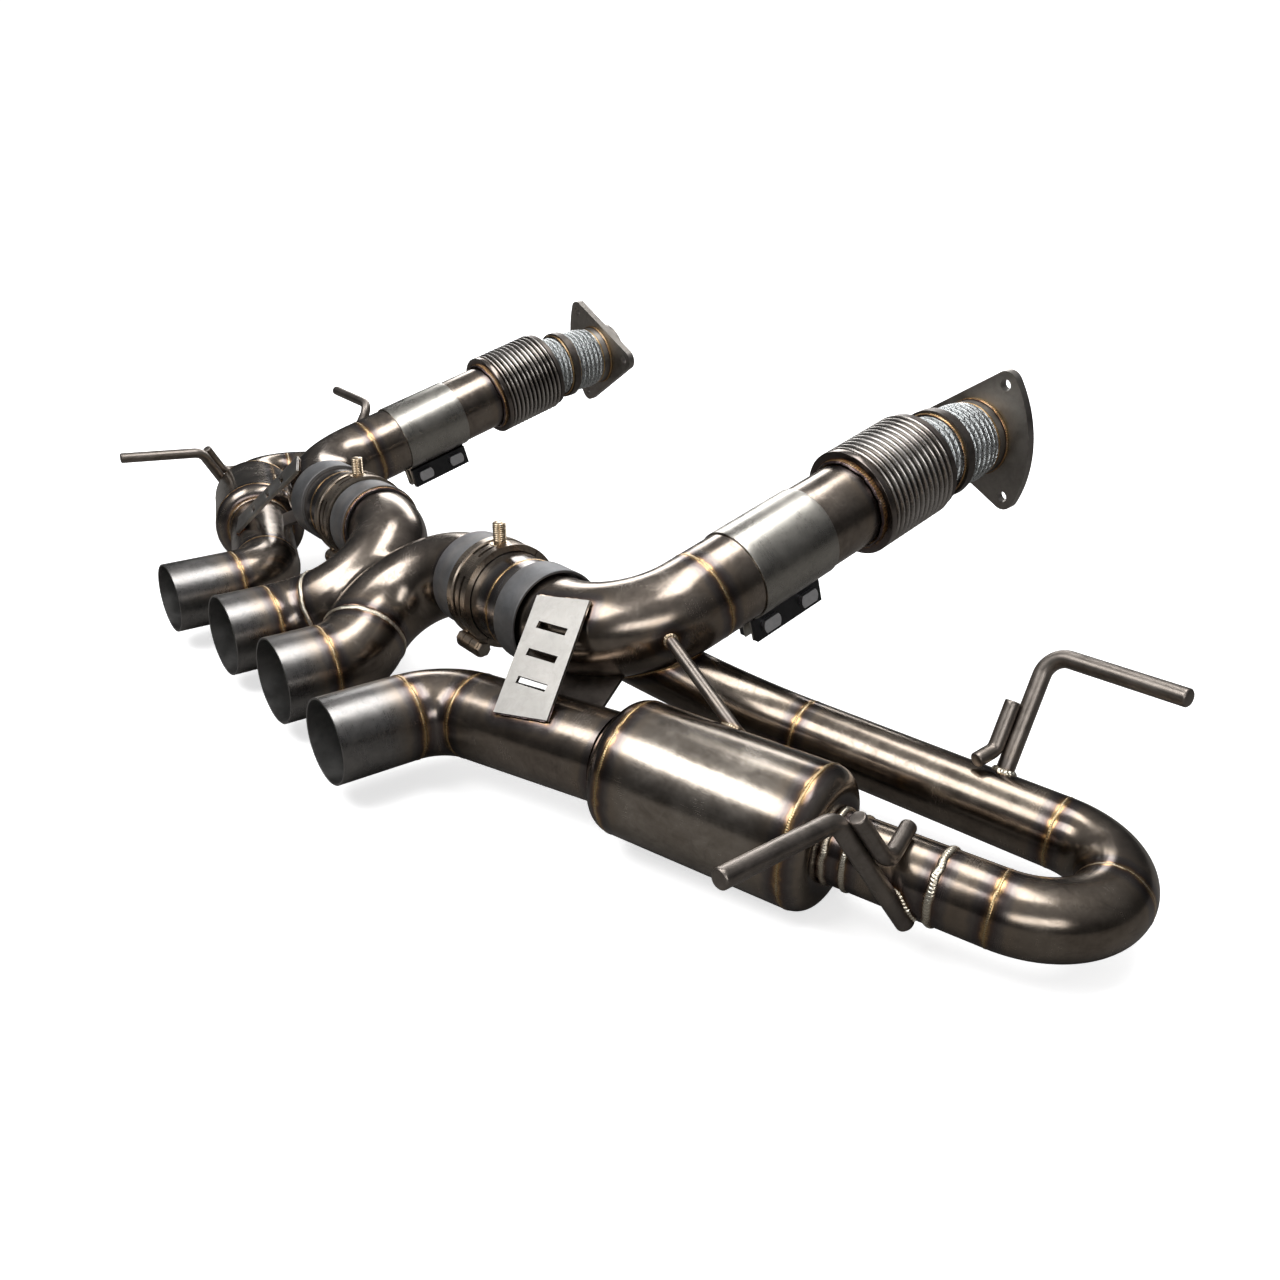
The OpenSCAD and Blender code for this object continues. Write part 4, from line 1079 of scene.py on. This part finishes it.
# clamp stud with a real helical thread; heights are above the crossover's axis
STUD_SEG, STUD_R, THREAD_DEEP, THREAD_PITCH, SHANK_R = 40, 5.95, 1.0, 1.75, 5.4
STUD_LOW, THREAD_LOW, STUD_TOP, STUD_TIP = 43.0, 46.8, 63.4, 63.5
b = Build()
th = np.linspace(0, 2 * math.pi, STUD_SEG, endpoint=False)
rows, flow = [], []
for z in np.linspace(STUD_LOW, STUD_TOP, 150):
    turn = (z / THREAD_PITCH - th / (2 * math.pi)) % 1.0
    r = STUD_R - THREAD_DEEP * np.abs(turn - 0.5) * 2
    if z < THREAD_LOW:
        r = np.full(STUD_SEG, SHANK_R)
    r = r * min(1.0, max(0.5, (64.0 - z) / 1.4))
    rows.append(np.stack([CLAMP_X + r * np.cos(th), CY + r * np.sin(th), CZ + z + 0 * th], -1))
    flow.append(np.stack([r * np.cos(th), r * np.sin(th), z + 0 * th], -1))
rows.append(np.repeat(vec(CLAMP_X, CY, CZ + STUD_TIP)[None], STUD_SEG, 0) + 0.01 * np.stack(
    [np.cos(th), np.sin(th), 0 * th], -1))
flow.append(np.stack([0 * th, 0 * th, STUD_TIP + 0 * th], -1))
b.grid(np.array(rows), np.array(flow))
revolve(b, rounded([(5.5, 43.05), (8.5, 43.05), (8.5, 44.6), (5.5, 44.6)], 0.4),
        vec(CLAMP_X, CY, CZ), Z, seg=48)
place(b, "clamp_screw", "clamp_half", stud_mat, ["clamp_stud_*"], sharp=50, heat=False)


# crossover: two bent legs, voxel-joined, then drawn onto a smoothly blended surface
LEG_C = leg_o + leg_n * CR


def leg_axis(Q):
    """Nearest points on the right leg's arc, the direction away from its centre, and angles."""
    rel = Q - LEG_C
    ang = np.clip(np.arctan2(rel @ (-X), rel @ (-leg_n)), 0, deg(CT))
    out = np.cos(ang)[:, None] * (-leg_n) + np.sin(ang)[:, None] * (-X)
    return LEG_C + CR * out, out, ang


def leg_field(P, sign):
    Q = P * vec(sign, 1, 1)
    return np.linalg.norm(Q - leg_axis(Q)[0], axis=1) - MAIN_R


def merged_field(P, k=16.0):
    a, b = leg_field(P, 1), leg_field(P, -1)
    h = np.clip(0.5 + 0.5 * (b - a) / k, 0, 1)
    return b * (1 - h) + a * h - k * h * (1 - h)


leg_seg = 96
rows = [ring(cross_leg, i, MAIN_R, leg_seg) for i in range(len(cross_leg.P))]
flow = [ring_flow(at, MAIN_R, leg_seg) for at in cross_leg.S]
rows.insert(0, np.repeat(cross_leg.P[0][None], leg_seg, 0) + (rows[0] - cross_leg.P[0]) * 0.001)
rows.append(np.repeat(cross_leg.P[-1][None], leg_seg, 0) + (rows[-1] - cross_leg.P[-1]) * 0.001)
flow = flow[:1] + flow + flow[-1:]
b = Build()
for sign in (1, -1):
    R = np.array(rows) * vec(sign, 1, 1)
    b.grid(R if sign > 0 else R[:, ::-1], np.array(flow))
raw = b.mesh("crossover_raw", False, 180, False)
mod = raw.modifiers.new("r", "REMESH")
mod.mode = "VOXEL"
mod.voxel_size = 0.0019
dg = bpy.context.evaluated_depsgraph_get()
solid = bpy.data.meshes.new_from_object(raw.evaluated_get(dg))
bpy.data.objects.remove(raw)
V = np.array([v.co for v in solid.vertices]) / MM

# the four open ends: their rims stay put, and their caps are taken off below
END_REACH = MAIN_R + 3
ends = []
for sign in (1, -1):
    for o, d in ((cross_leg.P[0], -cross_leg.T[0]), (cross_leg.P[-1], cross_leg.T[-1])):
        ends.append((o * vec(sign, 1, 1), d * vec(sign, 1, 1)))
fixed = np.zeros(len(V), bool)
for o, d in ends:
    along = (V - o) @ d
    across = np.linalg.norm((V - o) - along[:, None] * d, axis=1)
    fixed |= (across < END_REACH) & (along > -1.6) & (along < 6)
PROBE = 0.2
for _ in range(8):
    f = merged_field(V)
    G = np.stack([merged_field(V + a * PROBE) - merged_field(V - a * PROBE)
                  for a in np.eye(3)], -1) / (2 * PROBE)
    step = f[:, None] * G / ((G ** 2).sum(1)[:, None] + 1e-6)
    V = np.where(fixed[:, None], V, V - np.clip(step, -2, 2))
bm = bmesh.new()
bm.from_mesh(solid)
bm.verts.ensure_lookup_table()
for v, p in zip(bm.verts, V):
    v.co = p * MM
doomed = []
for face in bm.faces:
    c = np.array(face.calc_center_median()) / MM
    for o, d in ends:
        w = (c - o) @ d
        if -2.2 < w < 6 and np.linalg.norm((c - o) - w * d) < END_REACH:
            doomed.append(face)
            break
bmesh.ops.delete(bm, geom=doomed, context="FACES")
bm.to_mesh(solid)
bm.free()
solid.shade_smooth()
co = np.array([v.co for v in solid.vertices]) / MM
hand = np.where(co[:, 0] >= 0, 1, -1)
Q = co * np.stack([hand, np.ones(len(co)), np.ones(len(co))], -1)
axis, out, ang = leg_axis(Q)
rad = Q - axis
set_fields(solid, np.stack([(rad * out).sum(1), rad @ np.cross(leg_n, -X), ang * CR], -1),
           heat_of(Q), np.zeros(len(co)))
crossover = bpy.data.objects.new("crossover_skin", solid)
bpy.context.scene.collection.objects.link(crossover)
sol = crossover.modifiers.new("wall", "SOLIDIFY")
sol.thickness = 0.0015
sol.offset = -1
crossover.data.materials.append(titan)
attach(crossover, EX)
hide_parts("crossover_pipe")

# beads, one piece for each body and side
for group, build in BEADS.items():
    place(build, f"welds_{group}", group, weld_mat, sharp=70, heat=False)


# ---------------------------------------------------------------- CAD pieces that stay
def paint(prefixes, mat):
    """Gives a material to the visible CAD pieces whose names start this way."""
    for n, obj in nodes.items():
        if any(n.startswith(p) for p in prefixes) and not obj.hide_render:
            if not obj.material_slots:
                obj.data.materials.append(mat)
            for slot in obj.material_slots:
                slot.material = mat


paint(["inlet_flange"], flange_mat)
paint(["flex_collar", "support_brackets"], dark_mat)
paint(["flex_liner", "silencer_core", "inlet_pipe", "seal_rings"], flange_mat)
paint(["silencer_packing"], pack_mat)
paint(["lap_bars"], black_mat)
paint(["lap_bolts", "lap_nuts"], zinc_mat)
paint(["clamp_upper", "clamp_lower"], clamp_mat)
paint(["clamp_pins"], pin_mat)
paint(["tip_brackets"], plate_mat)

# ---------------------------------------------------------------- floor, light, camera
bpy.ops.mesh.primitive_plane_add(size=12, location=(0, 0, -0.0008))
floor = bpy.context.object
floor.name = "floor"
m, nt, bsdf = material("pale_floor")
g = Nodes(nt)
spot = g.new("ShaderNodeTexCoord").outputs["Object"]
pale = g.mix(g.span(g.noise(spot, 3.0, 2.0), 0.3, 0.7), (0.86, 0.86, 0.86), (0.9, 0.9, 0.9))
lp = g.new("ShaderNodeLightPath")
# darker in reflections, so the tubes' undersides stay deep as in the photo
g.put(bsdf.inputs["Base Color"], g.mix(lp.outputs["Is Glossy Ray"], pale, (0.16, 0.155, 0.15)))
bsdf.inputs["Roughness"].default_value = 0.8
bsdf.inputs["Specular IOR Level"].default_value = 0.05
away = g.new("ShaderNodeVectorMath", operation="LENGTH")
g.put(away.inputs[0], spot)
bsdf.inputs["Emission Color"].default_value = (1, 1, 1, 1)
g.put(bsdf.inputs["Emission Strength"],
      g.math("MULTIPLY", g.span(away.outputs["Value"], 0.5, 1.3, 0.62, 1.1),
             lp.outputs["Is Camera Ray"]))
floor.data.materials.append(m)


def softbox(name, loc, aim, size, power, color=(1, 1, 1)):
    light = bpy.data.lights.new(name, "AREA")
    light.shape = "RECTANGLE"
    light.size, light.size_y = size
    light.energy = power
    light.color = color
    obj = bpy.data.objects.new(name, light)
    bpy.context.scene.collection.objects.link(obj)
    obj.location = loc
    obj.rotation_mode = "QUATERNION"
    obj.rotation_quaternion = (Vector(aim) - Vector(loc)).to_track_quat("-Z", "Y")


softbox("key", (-0.15, -1.35, 1.85), (0.35, -0.1, 0.05), (1.7, 0.85), 26)
softbox("top", (0.3, 0.3, 2.2), (0.1, 0, 0), (2.0, 0.7), 26)
softbox("back", (-1.9, 1.7, 1.3), (0, 0, 0.1), (2.2, 0.9), 34)
softbox("fill", (1.9, -1.2, 0.9), (0.2, 0, 0.1), (1.5, 0.5), 10)

world = bpy.data.worlds.new("studio")
bpy.context.scene.world = world
world.use_nodes = True
wn = world.node_tree
wn.nodes.clear()
g = Nodes(wn)
out = g.new("ShaderNodeOutputWorld")
gen = g.new("ShaderNodeTexCoord").outputs["Generated"]
sep = g.new("ShaderNodeSeparateXYZ")
g.put(sep.inputs[0], gen)
sky = g.ramp(g.span(sep.outputs[2], -1.0, 1.0),
             [(0.0, (0.3, 0.3, 0.3)), (0.5, (0.05, 0.05, 0.05)), (0.62, (0.06, 0.06, 0.062)),
              (0.8, (0.20, 0.20, 0.205)), (1.0, (0.5, 0.5, 0.5))])
bg = g.new("ShaderNodeBackground")
g.put(bg.inputs[0], sky.outputs[0])
bg.inputs[1].default_value = 0.9
white = g.new("ShaderNodeBackground")
white.inputs[0].default_value = (1, 1, 1, 1)
white.inputs[1].default_value = 1.1
lp = g.new("ShaderNodeLightPath")
mx = g.new("ShaderNodeMixShader")
g.put(mx.inputs[0], lp.outputs["Is Camera Ray"])
wn.links.new(bg.outputs[0], mx.inputs[1])
wn.links.new(white.outputs[0], mx.inputs[2])
wn.links.new(mx.outputs[0], out.inputs[0])

bpy.context.scene.view_settings.view_transform = "Standard"
cam_data = bpy.data.cameras.new("camera")
cam = bpy.data.objects.new("camera", cam_data)
bpy.context.scene.collection.objects.link(cam)
cam.location = (0.9483, -0.5925, 0.4622)
cam.rotation_euler = (deg(67.09), 0, deg(52.61))
cam_data.lens = 31.96
cam_data.sensor_width = 36
cam_data.clip_start, cam_data.clip_end = 0.02, 50
bpy.context.scene.camera = cam

bpy.context.view_layer.update()
